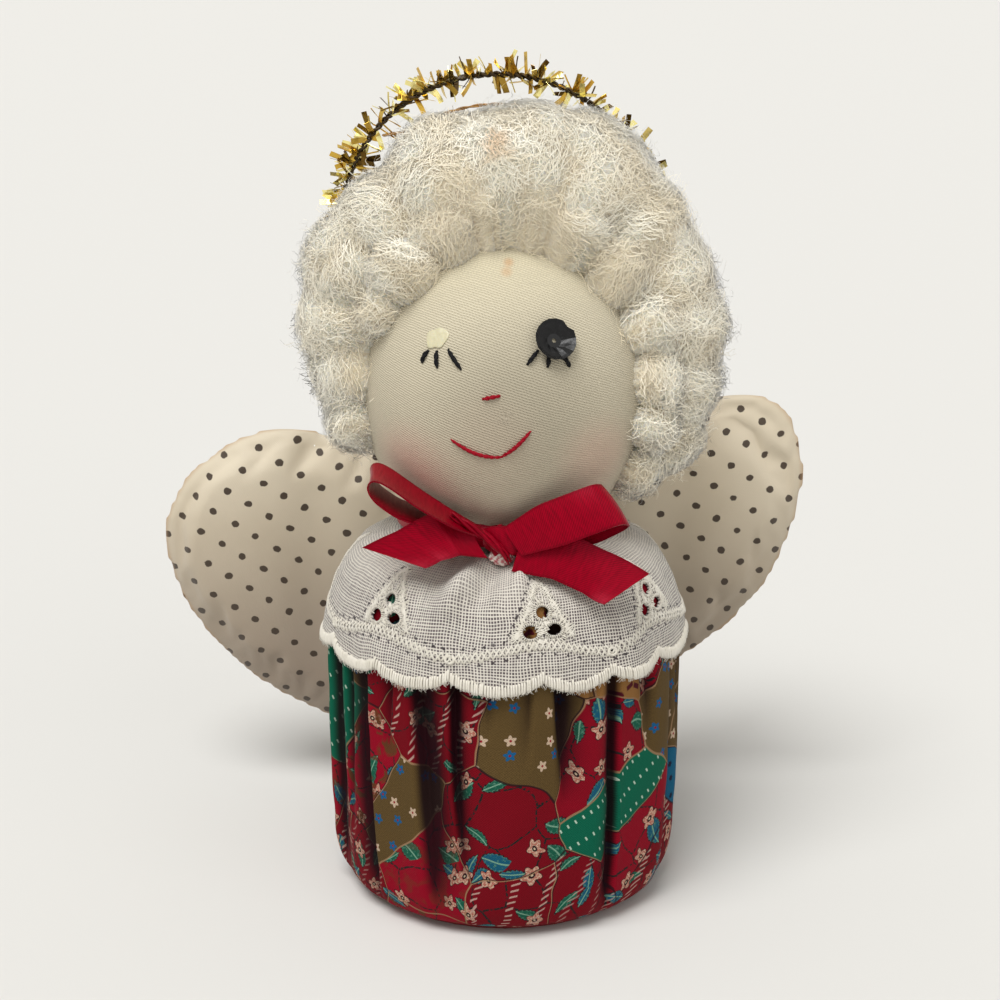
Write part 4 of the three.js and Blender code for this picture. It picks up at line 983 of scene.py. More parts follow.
# Hair
# Curled white synthetic fibre, teased into a thick woolly pile and glued on in locks: a fringe left and
# right of the forehead, a temple puff and a lock at the right, the sides, the crown and the back.
# Puffs: sideways, backwards and upwards from the head's middle, and radius, in shares of the head's radius
HAIR_PUFFS = {
    "fringe_left": [
        [-0.83, -0.32, 0.6, 0.25], [-0.66, -0.4, 0.88, 0.27], [-0.4, -0.38, 1.17, 0.28],
        [-0.13, -0.36, 1.32, 0.26],
    ],
    "fringe_right": [[0.2, -0.37, 1.32, 0.26], [0.48, -0.37, 1.19, 0.28], [0.77, -0.33, 0.89, 0.29]],
    "temple_right": [[0.99, -0.33, 0.5, 0.27], [1.04, -0.37, 0.13, 0.25], [1.0, -0.37, -0.2, 0.22]],
    "lock_right": [[0.92, -0.22, -0.53, 0.25], [0.9, -0.1, -0.36, 0.24]],
    "side_left": [
        [-1.05, -0.15, 0.86, 0.35], [-1.15, -0.15, 0.5, 0.32], [-1.1, -0.18, 0.13, 0.3],
        [-1.03, -0.15, -0.2, 0.27], [-0.91, 0.12, -0.3, 0.26], [-0.84, 0.4, 0.68, 0.38],
        [-0.93, 0.35, 0.2, 0.36], [-0.86, 0.4, -0.24, 0.31],
    ],
    "side_right": [
        [1.08, -0.1, 0.78, 0.37], [1.22, -0.1, 0.42, 0.35], [1.24, -0.1, 0.05, 0.33],
        [1.17, -0.04, -0.36, 0.3], [0.88, 0.4, 0.64, 0.38], [1, 0.34, 0.15, 0.36], [0.93, 0.34, -0.3, 0.33],
    ],
    "crown": [
        [-0.76, -0.14, 1.16, 0.39], [-0.38, -0.18, 1.42, 0.44], [0.1, -0.18, 1.5, 0.46],
        [0.55, -0.14, 1.4, 0.46], [0.86, -0.1, 1.1, 0.39], [0, 0.2, 1.08, 0.42], [-0.45, 0.18, 1.18, 0.42],
        [0.45, 0.18, 1.18, 0.42], [-0.34, 0.04, 1.3, 0.42], [0.05, 0.04, 1.36, 0.44],
        [0.42, 0.04, 1.32, 0.42],
    ],
    "back": [
        [0, 0.45, 0.76, 0.42], [-0.38, 0.42, 0.76, 0.4], [0.38, 0.42, 0.76, 0.4], [0, 0.62, 0.45, 0.46],
        [-0.48, 0.6, 0.38, 0.42], [0.48, 0.6, 0.38, 0.42], [0, 0.84, -0.1, 0.41], [-0.52, 0.58, -0.2, 0.39],
        [0.52, 0.58, -0.2, 0.39], [0, 0.68, -0.45, 0.32], [-0.42, 0.54, -0.48, 0.29],
        [0.42, 0.54, -0.48, 0.29],
    ],
}
HAIR_STRANDS, HAIR_STEPS = 18500, 11
STRANDS_IN_PIECE = 2800
FIBRE_HALF_WIDTH = 0.041
TUFTS, TUFT_SIZE, TUFT_HEIGHT = 520, 3.4, 0.9
PILE_GRID, ROOT_GRID = (170, 250), (300, 440)
PUFF_BLEND = 0.62
# The halo leans on the hair behind: its foot, and the way that it faces, 12 degrees forward
HALO_LEAN = math.radians(12)
HALO_BOTTOM = np.array([-1.1, 26.74, 70.5])
HALO_FRONT = np.array([0, -math.cos(HALO_LEAN), -math.sin(HALO_LEAN)])
puffs = np.concatenate(list(HAIR_PUFFS.values()))
lock_of_puff = np.repeat(np.arange(len(HAIR_PUFFS)), [len(lock) for lock in HAIR_PUFFS.values()])
puff_middle = puffs[:, :3] * HEAD_RADIUS
puff_radius = puffs[:, 3] * HEAD_RADIUS


def pile_reach(direction, less=0.0):
    """How far the pile of hair reaches from the head's middle each way. Every puff's radius is so much
    less.

    It is the soft maximum, ln(sum of exp(0.62 x reach)) / 0.62, of where the direction leaves each puff,
    and of a ball under the head's cover that stands proud of it behind, less what it adds where puffs meet,
    with soft lumps.
    """
    near = direction @ puff_middle.T
    inside_share = near**2 - (puff_middle**2).sum(1) + (puff_radius - less) ** 2
    reach = np.where(inside_share > 0, near + np.sqrt(np.maximum(inside_share, 0)), 0)
    behind = np.clip(3 * direction[:, 1] - 0.2, 0, 1) * np.clip(4 * direction[:, 2] + 3.2, 0, 1)
    reach = np.concatenate([reach, HEAD_RADIUS - 3 + 6.4 * behind[:, None]], 1)
    risen = 0.8 * np.clip(direction[:, 2], 0, 1) ** 2 - 1.05
    blended = np.log(np.exp(PUFF_BLEND * reach).sum(1)) / PUFF_BLEND
    return blended + risen + 0.8 * ripple(direction * HEAD_RADIUS, 9, 51)


def ball_grid(rows, columns, pole):
    """Directions in rings from straight up to straight down. The end rings are pole radians from there."""
    polar = np.linspace(pole, np.pi - pole, rows)[:, None]
    around = np.arange(columns) * 2 * np.pi / columns
    return np.stack(
        [np.sin(polar) * np.sin(around), -np.sin(polar) * np.cos(around), np.cos(polar) + 0 * around], -1)


def pile_grid(rows, columns, less):
    """Directions and the pile's surface there, as rings of places round the head's middle, top down."""
    direction = ball_grid(rows, columns, 0.01).reshape(-1, 3)
    return direction, direction * pile_reach(direction, less)[:, None]


def even_directions(count, seed, shake):
    """Directions spread evenly over a ball on a spiral of golden turns, each shaken a little."""
    number = np.arange(count) + 0.5
    up = 1 - 2 * number / count
    turn = number * math.pi * (3 - math.sqrt(5))
    side = np.sqrt(1 - up**2)
    spread = np.stack([side * np.cos(turn), side * np.sin(turn), up], -1)
    return unit(spread + np.random.default_rng(seed).normal(0, shake, spread.shape))


tuft_direction = even_directions(TUFTS, 21, 0.05)
tuft_middle = tuft_direction * pile_reach(tuft_direction)[:, None]


def nearest_tuft(points):
    """The number of the tuft whose middle is nearest to each point, and how far away it is."""
    squared = (points**2).sum(1)[:, None] + (tuft_middle**2).sum(1) - 2 * points @ tuft_middle.T
    away = np.sqrt(np.maximum(squared, 0))
    number = away.argmin(1)
    return number, away[np.arange(len(points)), number]


def tuft_height(away):
    """How far a tuft rises at a distance from its middle: sqrt(1 - (distance / size)^2), less its mean."""
    return np.sqrt(np.clip(1 - (away / TUFT_SIZE) ** 2, 0.03, 1)) - 0.65


pile_direction, pile_points = pile_grid(*PILE_GRID, 0.62)
_, away = nearest_tuft(pile_direction * pile_reach(pile_direction)[:, None])
grid = pile_points.reshape(*PILE_GRID, 3)
square = np.cross(np.gradient(grid, axis=0), np.roll(grid, -1, 1) - np.roll(grid, 1, 1)).reshape(-1, 3)
square = np.abs((square * pile_direction).sum(1)) / (np.linalg.norm(square, axis=1) + 1e-9)
tufted = TUFT_HEIGHT * tuft_height(away) * np.clip(2 * square - 0.5, 0, 1)
pile_points = HEAD_MIDDLE + pile_points + pile_direction * tufted[:, None]

hair_finish, place = finish_of(
    "white_curled_fibre", srgb(236, 231, 220), 0.4, Sheen_Weight=0.7, Specular_IOR_Level=0.8)
strand_tint = mixed(attribute(hair_finish, "tone"), srgb(248, 237, 210), srgb(255, 251, 234))
# Painted shade: fibres far from their tuft's middle, in the hollows between tufts, are tinted darker and tan
strand_tint = mixed(attribute(hair_finish, "hollow") * 0.5, strand_tint, srgb(230, 211, 172))
stain = noise(place, 0.5, 3.0) * 5.0 + distance(place, (-2.0, -12.0, 109.2))
painted(hair_finish, mixed(between(stain, 6.0, 3.4, 0.0, 0.6), strand_tint, srgb(214, 160, 92)))

pile_finish, place = finish_of(
    "white_fibre_pile", srgb(226, 219, 204), 0.8, Sheen_Weight=0.7, Subsurface_Weight=0.6,
    Subsurface_Radius=(0.0022, 0.002, 0.0016), Subsurface_Scale=1.0)
crimp = noise(place, 1.1, 7.0, Roughness=0.75, Distortion=3.0)
pile_tint = mixed(between(crimp, 0.35, 0.65), srgb(244, 232, 204), srgb(255, 251, 234))
# Painted shade: the pile is tinted darker and tan in the hollows between tufts
pile_tint = mixed(attribute(pile_finish, "hollow") * 0.6, pile_tint, srgb(224, 204, 164))
painted(pile_finish, pile_tint, crimp, 0.45)
# How far into the hollows between tufts each point of the pile lies, for its painted shade
pile_hollow_shade = np.clip((away - 1.5) / 2.0, 0, 1)
hair_pile = grid_piece("hair_pile", pile_points.reshape(*PILE_GRID, 3), pile_finish, hollow=pile_hollow_shade)
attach(hair_pile, "head")

# Roots: cells of the pile's surface are drawn by their area, and each root falls anywhere in its cell
rng = np.random.default_rng(31)
_, grid = pile_grid(*ROOT_GRID, 0.45)
corner = grid[quads(*ROOT_GRID)]
out = np.cross(corner[:, 2] - corner[:, 0], corner[:, 3] - corner[:, 1])
area = np.linalg.norm(out, axis=1)
out /= area[:, None]
cover = np.array([HEAD_RADIUS, HEAD_RADIUS, HEAD_HALF_HEIGHT]) + 0.2
free = ((corner.mean(1) / cover) ** 2).sum(1) > 1
chosen = rng.choice(len(area), HAIR_STRANDS, p=area * free / (area * free).sum())
u, v = rng.random((2, HAIR_STRANDS, 1))
corner, out = corner[chosen], out[chosen]
root = (corner[:, 0] * (1 - u) + corner[:, 3] * u) * (1 - v) + (corner[:, 1] * (1 - u) + corner[:, 2] * u) * v
nearest_puff = (np.sqrt(((root[:, None] - puff_middle) ** 2).sum(2)) - puff_radius).argmin(1)
number, away = nearest_tuft(root)
root = HEAD_MIDDLE + root + out * (TUFT_HEIGHT * tuft_height(away))[:, None]

# Fibres: each flows along the surface as its tuft does, winds on its own spiral, and some stray outwards
tuft_way = rng.normal(size=tuft_middle.shape)[number]
whirl = 0.5 * np.cross(out, root - HEAD_MIDDLE - tuft_middle[number])
flow = tuft_way + whirl + rng.normal(0, 0.38, root.shape)
flow -= out * (flow * out).sum(1, keepdims=True)
flow = unit(flow)
side_way = np.cross(out, flow)
stray = (rng.random(HAIR_STRANDS) < 0.09)[:, None]
length = rng.uniform(3.6, 7.4, HAIR_STRANDS)[:, None]
way = np.linspace(0, 1, HAIR_STEPS)[None, :]
tuft_turns, tuft_start = rng.uniform(1.1, 2.3, TUFTS), rng.uniform(0, 2 * np.pi, TUFTS)
turns = tuft_turns[number][:, None] + rng.normal(0, 0.25, (HAIR_STRANDS, 1))
curl = rng.uniform(0.3, 0.8, HAIR_STRANDS)[:, None] * (0.6 + 0.4 * way)
wind = (tuft_start[number] + rng.normal(0, 0.7, HAIR_STRANDS))[:, None] + 2 * np.pi * turns * way
stray_rise, rise = (rng.uniform(*span, HAIR_STRANDS)[:, None] for span in ((0.9, 2.4), (0.0, 0.7)))
rise = np.where(stray, stray_rise, rise) * np.where(stray, way, np.sin(np.pi * way)) - 0.2
strand_lines = (
    root[:, None]
    + flow[:, None] * (length * (way - 0.45) * np.where(stray, 0.5, 1) + curl * 0.6 * np.sin(wind))[..., None]
    + out[:, None] * (rise + curl * np.cos(wind) * 0.4)[..., None]
    + side_way[:, None] * (curl * np.sin(wind + 1.1))[..., None]
)
# Behind, the fibres are pressed flat, 0.75 mm in front of the plane in which the halo leans on them
pressed = np.maximum((strand_lines - HALO_BOTTOM) @ -HALO_FRONT + 0.75, 0)
strand_lines += pressed[..., None] * HALO_FRONT
strand_tone = rng.random(HAIR_STRANDS)
# How far into the hollows between tufts each fibre lies, for the painted shade there
strand_hollow_shade = np.clip((away - 1.6) / 2.2, 0, 1)


def flat_fibres(lines, outward, half_width):
    """Flat fibres along lines of shape (fibre, step, 3): two edges of the flat side and a keel at each
    step.

    It gives the points, their tables, and the flat side's normal, which is outward made square to the line.
    """
    along = unit(np.gradient(lines, axis=1), 1e-9)
    up = unit(outward[:, None] - along * (outward[:, None] * along).sum(2, keepdims=True), 1e-9)
    edge = np.cross(up, along) * half_width
    return (
        np.stack([lines + edge, lines - up * 0.7 * half_width, lines - edge], 2),
        each(*lines.shape[:2], 3), up)


half_widths = (FIBRE_HALF_WIDTH * (1 - 0.4 * way))[..., None]
for lock_number, lock in enumerate(HAIR_PUFFS):
    members = np.flatnonzero(lock_of_puff[nearest_puff] == lock_number)
    for part_number, part in enumerate(np.array_split(members, len(members) // STRANDS_IN_PIECE + 1)):
        points, tables, up = flat_fibres(strand_lines[part], out[part], half_widths)
        tone, hollow = (np.repeat(value[part], HAIR_STEPS * 3) for value in (strand_tone, strand_hollow_shade))
        name = f"hair_{lock}_curls_{part_number + 1}"
        curls = piece_from(name, points, tables, hair_finish, tone=tone, hollow=hollow)
        facing = unit(np.repeat((0.8 * out[part][:, None] + 0.5 * up)[:, :, None], 3, 2))
        curls.data.normals_split_custom_set_from_vertices(facing.reshape(-1, 3))
        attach(curls, "head")
        if part_number == 0:
            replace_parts(curls, f"hair_{lock}")

# Halo
# Gold tinsel: two lengths of dark wire twisted round short strips of gold foil, bent to a ring and tacked
# to the back hair, with the wire's thinner second lap inside its top.
HALO_RING_RADIUS = 23.0
HALO_UP = np.array([0, -math.sin(HALO_LEAN), math.cos(HALO_LEAN)])
HALO_SIDE = np.array([1.0, 0, 0])
HALO_MIDDLE = HALO_BOTTOM + HALO_RING_RADIUS * HALO_UP
# The second lap: turn in degrees, and how far inside the ring it runs, as a share of 4.4 mm
LAP_SHARES = [(-50, 0.31), (-43, 0.75), (-32, 0.93), (-12, 1), (8, 1), (28, 0.93), (40, 0.7), (48, 0.31)]
FOIL_STRIPS, FOIL_CLUMPS = 760, 92


def on_halo(angle, radius, front=0.0):
    """A place on the ring: middle + radius x (sin of angle sideways + cos of it upwards), and forward."""
    angle, radius, front = (
        np.asarray(part, float)[..., None] for part in np.broadcast_arrays(angle, radius, front))
    return HALO_MIDDLE + radius * (np.sin(angle) * HALO_SIDE + np.cos(angle) * HALO_UP) + front * HALO_FRONT


def twisted_wire(name, angle, radius, wind, apart, thickness, sides, finish):
    """Two wires wound round each other, each apart from a line of angles and radii on the halo."""
    wind = wind + TWO_PLIES
    lines = on_halo(angle, radius + apart * np.cos(wind), apart * np.sin(wind))
    piece = piece_from(name, *threads(lines, thickness, sides, guide=HALO_FRONT), finish)
    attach(piece, "halo")
    return piece


wire_finish = mottled(
    "dark_twisted_wire", ((60, 46, 22), 0.5), (18, 15, 11), (84, 64, 30), (1.6, 3.0), Metallic=0.5)
copper_finish = mottled(
    "coppery_twisted_wire", ((168, 120, 66), 0.45), (120, 78, 40), (214, 168, 104), (1.2, 3.0), Metallic=0.6)
lap = rounded([(math.radians(turn), HALO_RING_RADIUS - 4.4 * share) for turn, share in LAP_SHARES], 260, 8)
second_lap = twisted_wire("halo_second_lap_wire", *lap.T, np.arange(260) * 0.55, 0.13, 0.14, 5, copper_finish)
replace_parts(second_lap, "halo_second_lap")
angle = np.linspace(0, 2 * np.pi, 720)
twisted_wire("halo_twisted_wire", angle, HALO_RING_RADIUS, angle * 60, 0.24, 0.24, 6, wire_finish)


def flat_strips(lines, across, half_width, half_thickness):
    """Flat strips along lines of shape (strip, step, 3), four corners at each step: their points and
    tables.

    The corners lie half a width across the line and half a thickness out from it.
    """
    along = unit(np.gradient(lines, axis=1), 1e-9)
    across = unit(across - along * (across * along).sum(2, keepdims=True), 1e-9)
    wide = across * half_width[..., None]
    thick = np.cross(across, along) * half_thickness
    corner = [wide * a + thick * b for a, b in ((1, 1), (-1, 1), (-1, -1), (1, -1))]
    return np.stack([lines + part for part in corner], 2), each(*lines.shape[:2], 4)


rng = np.random.default_rng(41)
clump = (np.arange(FOIL_CLUMPS) + rng.uniform(-0.4, 0.4, FOIL_CLUMPS)) * 2 * np.pi / FOIL_CLUMPS
strip_angle = clump[rng.integers(0, FOIL_CLUMPS, FOIL_STRIPS)] + rng.normal(0, 0.02, FOIL_STRIPS)
strip_angle = strip_angle[np.abs((strip_angle + np.pi) % (2 * np.pi) - np.pi) < np.radians(165)]
count = len(strip_angle)
lean = np.where(rng.random(count) < 0.62, rng.normal(0, 0.55, count), rng.normal(np.pi, 0.8, count))
front_lean = rng.normal(0, 0.5, count)
strip_way = unit(
    np.cos(lean)[:, None] * (on_halo(strip_angle, 1.0) - HALO_MIDDLE)
    + np.sin(lean)[:, None] * (on_halo(strip_angle + np.pi / 2, 1.0) - HALO_MIDDLE)
    + front_lean[:, None] * HALO_FRONT
)
strip_length = np.clip(rng.normal(2.2, 0.7, count), 0.9, 3.5)
bend = rng.normal(0, 0.3, (count, 3))
share = np.array([0, 0.35, 0.7, 1.0])
strip_reach = strip_way[:, None] * (0.25 + strip_length[:, None] * share)[..., None]
strip_lines = (
    on_halo(strip_angle, HALO_RING_RADIUS)[:, None] + strip_reach
    + bend[:, None] * (share**2)[None, :, None])
strip_width = np.where(rng.random(count) < 0.3, 0.12, rng.uniform(0.34, 0.5, count))
points, tables = flat_strips(strip_lines, rng.normal(size=(count, 1, 3)), strip_width[:, None], 0.02)
foil_finish, place = finish_of("gold_foil_strip", srgb(214, 176, 70), 0.24, Metallic=0.95)
# Painted shade and highlights: at random a strip is dark gold in painted shade, plain gold, or pale yellow as
# a painted highlight
tone = attribute(foil_finish, "tone")
gold = mixed(between(tone, 0.12, 0.3), srgb(84, 62, 22), srgb(206, 168, 70))
gold = mixed(between(tone, 0.45, 0.75), gold, srgb(255, 243, 168))
painted(foil_finish, mixed(between(noise(place, 1.1, 3.0), 0.5, 0.75, 0.0, 0.5), gold, srgb(96, 74, 30)))
foil_light_and_shade_share = np.repeat(rng.random(count), 16)
foil = piece_from("halo_foil_strips", points, tables, foil_finish, smooth=False, tone=foil_light_and_shade_share)
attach(foil, "halo")
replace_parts(foil, "halo_tinsel")

# Wings
# One heart shaped pad of cream sateen with brown pin dots: two panels sewn face to face, turned out,
# stuffed with fibre, and tacked to the back of the body. The filling swells between the seam's puckers.
WING_SPAN = 101.0
WING_MIDDLE = np.array([-3.434, 30.94, 38.0])
# The seam from the front, round the pad's middle, as shares of the span
WING_OUTLINE = np.array([
    (-0.292, 0.216), (-0.339, 0.213), (-0.378, 0.2), (-0.418, 0.176), (-0.458, 0.144), (-0.489, 0.095),
    (-0.502, 0.046), (-0.493, -0.013), (-0.475, -0.062), (-0.43, -0.131), (-0.36, -0.199), (-0.256, -0.259),
    (-0.115, -0.319), (0.014, -0.343), (0.123, -0.317), (0.217, -0.248), (0.319, -0.161), (0.379, -0.114),
    (0.441, -0.046), (0.477, 0.029), (0.494, 0.083), (0.501, 0.144), (0.494, 0.192), (0.477, 0.236),
    (0.445, 0.264), (0.406, 0.273), (0.367, 0.268), (0.291, 0.238), (0.182, 0.181), (0.063, 0.139),
    (-0.065, 0.149), (-0.184, 0.193),
])
SWELLING_SCALE = 10
SWELLING_FRAMES = 20


def heart_outline(count):
    """The wings' outline from their middle: even steps round a smooth line, anticlockwise from in front."""
    corner = WING_OUTLINE * WING_SPAN
    step = np.linspace(0, len(corner), 1200, endpoint=False)
    first, share = step.astype(int), (step % 1)[:, None]
    a, b, c, d = (corner[(first + k) % len(corner)] for k in (-1, 0, 1, 2))
    line = 0.5 * (
        2 * b + (c - a) * share + (2 * a - 5 * b + 4 * c - d) * share**2
        + (3 * b - a - 3 * c + d) * share**3)
    return spaced(np.vstack([line, line[:1]]), count + 1)[:-1]


def wing_pad(rim, rows, puff, inset=0.0):
    """Rings of a pad from the front's middle over the rim to the back's, puffed by sqrt(1 - share^3)."""
    share = np.concatenate([np.linspace(0.02, 1, rows) ** 0.8, np.linspace(1, 0.02, rows)[1:] ** 0.8])
    face_side = np.concatenate([-np.ones(rows), np.ones(rows - 1)])
    scale = 1 - inset / np.linalg.norm(rim, axis=1, keepdims=True)
    plane = rim[None] * scale * share[:, None, None]
    depth = face_side * puff * np.sqrt(np.clip(1 - share**3, 0, 1))
    return np.stack(np.broadcast_arrays(plane[..., 0], depth[:, None], plane[..., 1]), -1) + WING_MIDDLE


def rim_shares(points, rim):
    """Each point's way from the wings' middle as a share of the rim's way there, seen from the front."""
    side, high = points[:, 0] - WING_MIDDLE[0], points[:, 2] - WING_MIDDLE[2]
    rim_angle = np.arctan2(rim[:, 1], rim[:, 0])
    order = np.argsort(rim_angle)
    rim_reach = np.linalg.norm(rim, axis=1)[order]
    return np.hypot(side, high) / np.interp(
        np.arctan2(high, side), rim_angle[order], rim_reach, period=2 * np.pi)


def shown_mesh(piece):
    """A piece's mesh with its modifiers applied."""
    return bpy.data.meshes.new_from_object(piece.evaluated_get(bpy.context.evaluated_depsgraph_get()))


def mesh_points(mesh):
    """The points, in millimetres at their own size, of a mesh that is ten times that size."""
    points = np.zeros((len(mesh.vertices), 3), np.float32)
    mesh.vertices.foreach_get("co", points.ravel())
    return points * 100


def swelled(points, tables, rim, voxel=1.1, pressure=4.0, cap=2.2):
    """A pad blown up as cloth: remeshed in even cells, held at its seam, and swelled by pressure alone.

    It is ten times its size while it swells, and no point ends further than cap from where it began. It
    gives the new points, and the tables of their squares and triangles.
    """
    scene = bpy.context.scene
    pad = piece_from("pad_before_swelling", points * SWELLING_SCALE, tables)
    remesh = pad.modifiers.new("even_cells", "REMESH")
    remesh.mode = "VOXEL"
    remesh.voxel_size = voxel * SWELLING_SCALE * MM
    pad.data = shown_mesh(pad)
    pad.modifiers.clear()
    before = mesh_points(pad.data)
    seam = pad.vertex_groups.new(name="seam")
    seam.add(np.flatnonzero(rim_shares(before, rim) > 0.975).tolist(), 1.0, "REPLACE")
    cloth = pad.modifiers.new("swelling", "CLOTH")
    cloth.settings.quality = 5
    cloth.settings.mass = 0.2
    cloth.settings.tension_stiffness = cloth.settings.compression_stiffness = 12
    cloth.settings.shear_stiffness = 5
    cloth.settings.bending_stiffness = 0.1
    cloth.settings.use_pressure = True
    cloth.settings.uniform_pressure_force = pressure
    cloth.settings.shrink_min = -0.06
    cloth.settings.effector_weights.gravity = 0
    cloth.settings.vertex_group_mass = "seam"
    cloth.point_cache.frame_start, cloth.point_cache.frame_end = 1, SWELLING_FRAMES
    for step in range(1, SWELLING_FRAMES + 1):
        scene.frame_set(step)
    end = shown_mesh(pad)
    scene.frame_set(1)
    moved = mesh_points(end) - before
    far = np.linalg.norm(moved, axis=1, keepdims=True)
    corners, firsts, counts = np.zeros(len(end.loops), np.int32), *np.zeros((2, len(end.polygons)), np.int32)
    end.loops.foreach_get("vertex_index", corners)
    end.polygons.foreach_get("loop_start", firsts)
    end.polygons.foreach_get("loop_total", counts)
    bpy.data.objects.remove(pad)
    tables = [corners[firsts[counts == size, None] + np.arange(size)] for size in np.unique(counts)]
    return before + moved * np.minimum(1, cap / np.maximum(far, 1e-6)), tables


rim = heart_outline(240)
wing_points, wing_tables = wing_pad(rim, 36, 2.1, -0.6), [quads(71, 240), *lids(71, 240)]
wing_points, wing_tables = swelled(wing_points, wing_tables, rim)
for side, width, depth in ((-30.0, 5.0, 0.9), (27.0, 5.0, 0.7)):
    inward = np.clip(1.1 - rim_shares(wing_points, rim), 0, 0.5) * 2
    valley = depth * bell(wing_points[:, 0] - side, width) * inward
    wing_points[:, 1] += np.where(wing_points[:, 1] < WING_MIDDLE[1], valley, 0)
wing_points = wing_points.reshape(-1, 3)

sateen_finish, place = finish_of("dotted_cream_sateen", srgb(222, 210, 186), 0.6, Sheen_Weight=0.25)
side, high = place[0], place[2]
bent = noise(place, 0.06, 1.0) * 2.5
dot_side = side * 0.2135 + high * -0.1598 + bent * 0.2
dot_up = side * 0.1294 + high * 0.207 + bent * 0.1
near_side, near_up = dot_side - dot_side.math("ROUND"), dot_up - dot_up.math("ROUND")
dot_away = distance(joined(near_side * 3.2 + near_up * 2.47, (near_side * -2.0 + near_up * 3.3) * 1.12))
ground = mixed(noise(place, 0.05, 3.0), srgb(186, 171, 145), srgb(224, 213, 191))
# Painted shade: the pad is darker and greyer towards its bottom
ground = mixed(between(high, 56.0, 18.0, 0.0, 0.85), ground, srgb(142, 126, 110))
ground = mixed(between(noise(place, 0.9, 2.0) * 0.6 + dot_away, 0.98, 0.84), ground, srgb(58, 43, 26))
ground = mixed(between(attribute(sateen_finish, "rim"), 0.985, 1.012, 0.0, 0.7), ground, srgb(170, 130, 84))
painted(sateen_finish, ground, ridges(side, 0.3) * ridges(high, 0.24) * 0.3 + 0.5, 0.04)
wing_pillow = piece_from(
    "wing_pillow", wing_points, wing_tables, sateen_finish, rim=rim_shares(wing_points, rim))
finer = wing_pillow.modifiers.new("finer_cells", "SUBSURF")
finer.levels = finer.render_levels = 1
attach(wing_pillow, "wings")
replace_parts(wing_pillow, "wing_front_panel", "wing_back_panel")
wing_wadding = grid_piece("wing_wadding", wing_pad(heart_outline(120), 14, 1.6, 2.2), wadding_finish)
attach(wing_wadding, "wings")
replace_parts(wing_wadding, "wing_filling")

# Ribbon and bow
# Red satin ribbon, 6.5 mm wide: a band round the neck, tied in front in a knot with two loops and two cut
# tails. Each loop and tail is a list of middles from the knot's middle in ribbon widths, the way across,
# and the width.
KNOT_MIDDLE = np.array([-1.0, -17.2, 56.0])
RIBBON_WIDTH, RIBBON_THICKNESS = 6.5, 0.22
LOOP_LEFT = [
    ((-0.34, -0.05, 0.22), 0.5), ((-0.92, -0.25, 0.56), 0.85), ((-1.62, -0.13, 0.97), 1),
    ((-2.25, 0.08, 1.38), 1), ((-2.58, 0.2, 1.51), 1), ((-2.72, 0.25, 1.32), 1), ((-2.57, 0.23, 1.02), 1),
    ((-2.08, 0.17, 0.67), 1), ((-1.38, 0.11, 0.44), 0.95), ((-0.69, 0.02, 0.1), 0.6),
]
LOOP_RIGHT = [
    ((0.31, -0.3, 0.1), 0.7), ((1.08, -0.49, 0.51), 1), ((1.77, -0.55, 0.8), 1), ((2.25, -0.49, 0.97), 1),
    ((2.46, -0.31, 0.89), 1), ((2.34, -0.09, 0.71), 1), ((1.77, -0.02, 0.4), 1), ((1, -0.1, 0.12), 0.7),
]
BOW_PLACES = {
    "bow_tail_left": [
        ((-0.37, -0.32, 0.02), (0.5, -0.2, -0.8), 0.6), ((-1.08, -0.49, 0.32), (4, -2, -5.4), 1.05),
        ((-1.62, -0.46, 0.06), (6.5, -2.7, -3.6), 1.12), ((-2.14, -0.4, -0.22), (8.9, -3.5, -1.9), 1.45),
    ],
    "bow_tail_right": [
        ((0.4, -0.3, -0.17), (-0.3, -0.2, -0.9), 0.75), ((1.32, -0.46, -0.17), (-0.4, -0.25, -0.88), 1),
        ((2, -0.54, -0.48), (-0.45, -0.35, -0.8), 1), ((2.66, -0.6, -0.83), (-6.2, -4, -3), 1.22),
    ],
    "bow_loop_left": [(middle, (0, -0.97, -0.12), width) for middle, width in LOOP_LEFT],
    "bow_loop_right": [(middle, (0.55, -0.35, -0.75), width) for middle, width in LOOP_RIGHT],
}
# The wrap over the knot, and the twisted roll across it, in millimetres from the knot's middle
WRAP_MIDDLES = np.array([
    (-1.6, -0.5, 1.2), (-0.2, -1.1, 0.9), (1.8, -1.35, 0.6), (3.6, -1.1, 0.5), (5.0, -0.2, 0.6),
])
WRAP_ACROSS = [(0.35, -0.1, -1), (0.3, -0.1, -1), (0.1, -0.1, -1), (-0.2, -0.1, -1), (-0.3, -0.1, -1)]
WRAP_WIDTHS = [0.3, 0.52, 0.62, 0.58, 0.5]
TWIST_MIDDLES = np.array([
    (-6.4, -1.3, 4.3), (-4.2, -1.8, 3.0), (-1.8, -2.0, 1.5), (0.1, -1.9, -0.1), (1.3, -1.6, -1.7),
    (1.7, -1.0, -2.6),
])


def both_sides(face, back):
    """Rows of a ribbon's face, then those of its back the other way, so that each row goes round it."""
    return np.concatenate([face, back[:, ::-1]], 1)


def ribbon_cloth(share, length):
    """The ribbon's own place, on its face and on its back: across from its middle, and along."""
    cloth = np.stack(np.broadcast_arrays(share[None, :] * RIBBON_WIDTH / 2, length[:, None], 0.0), -1)
    return both_sides(cloth, cloth)


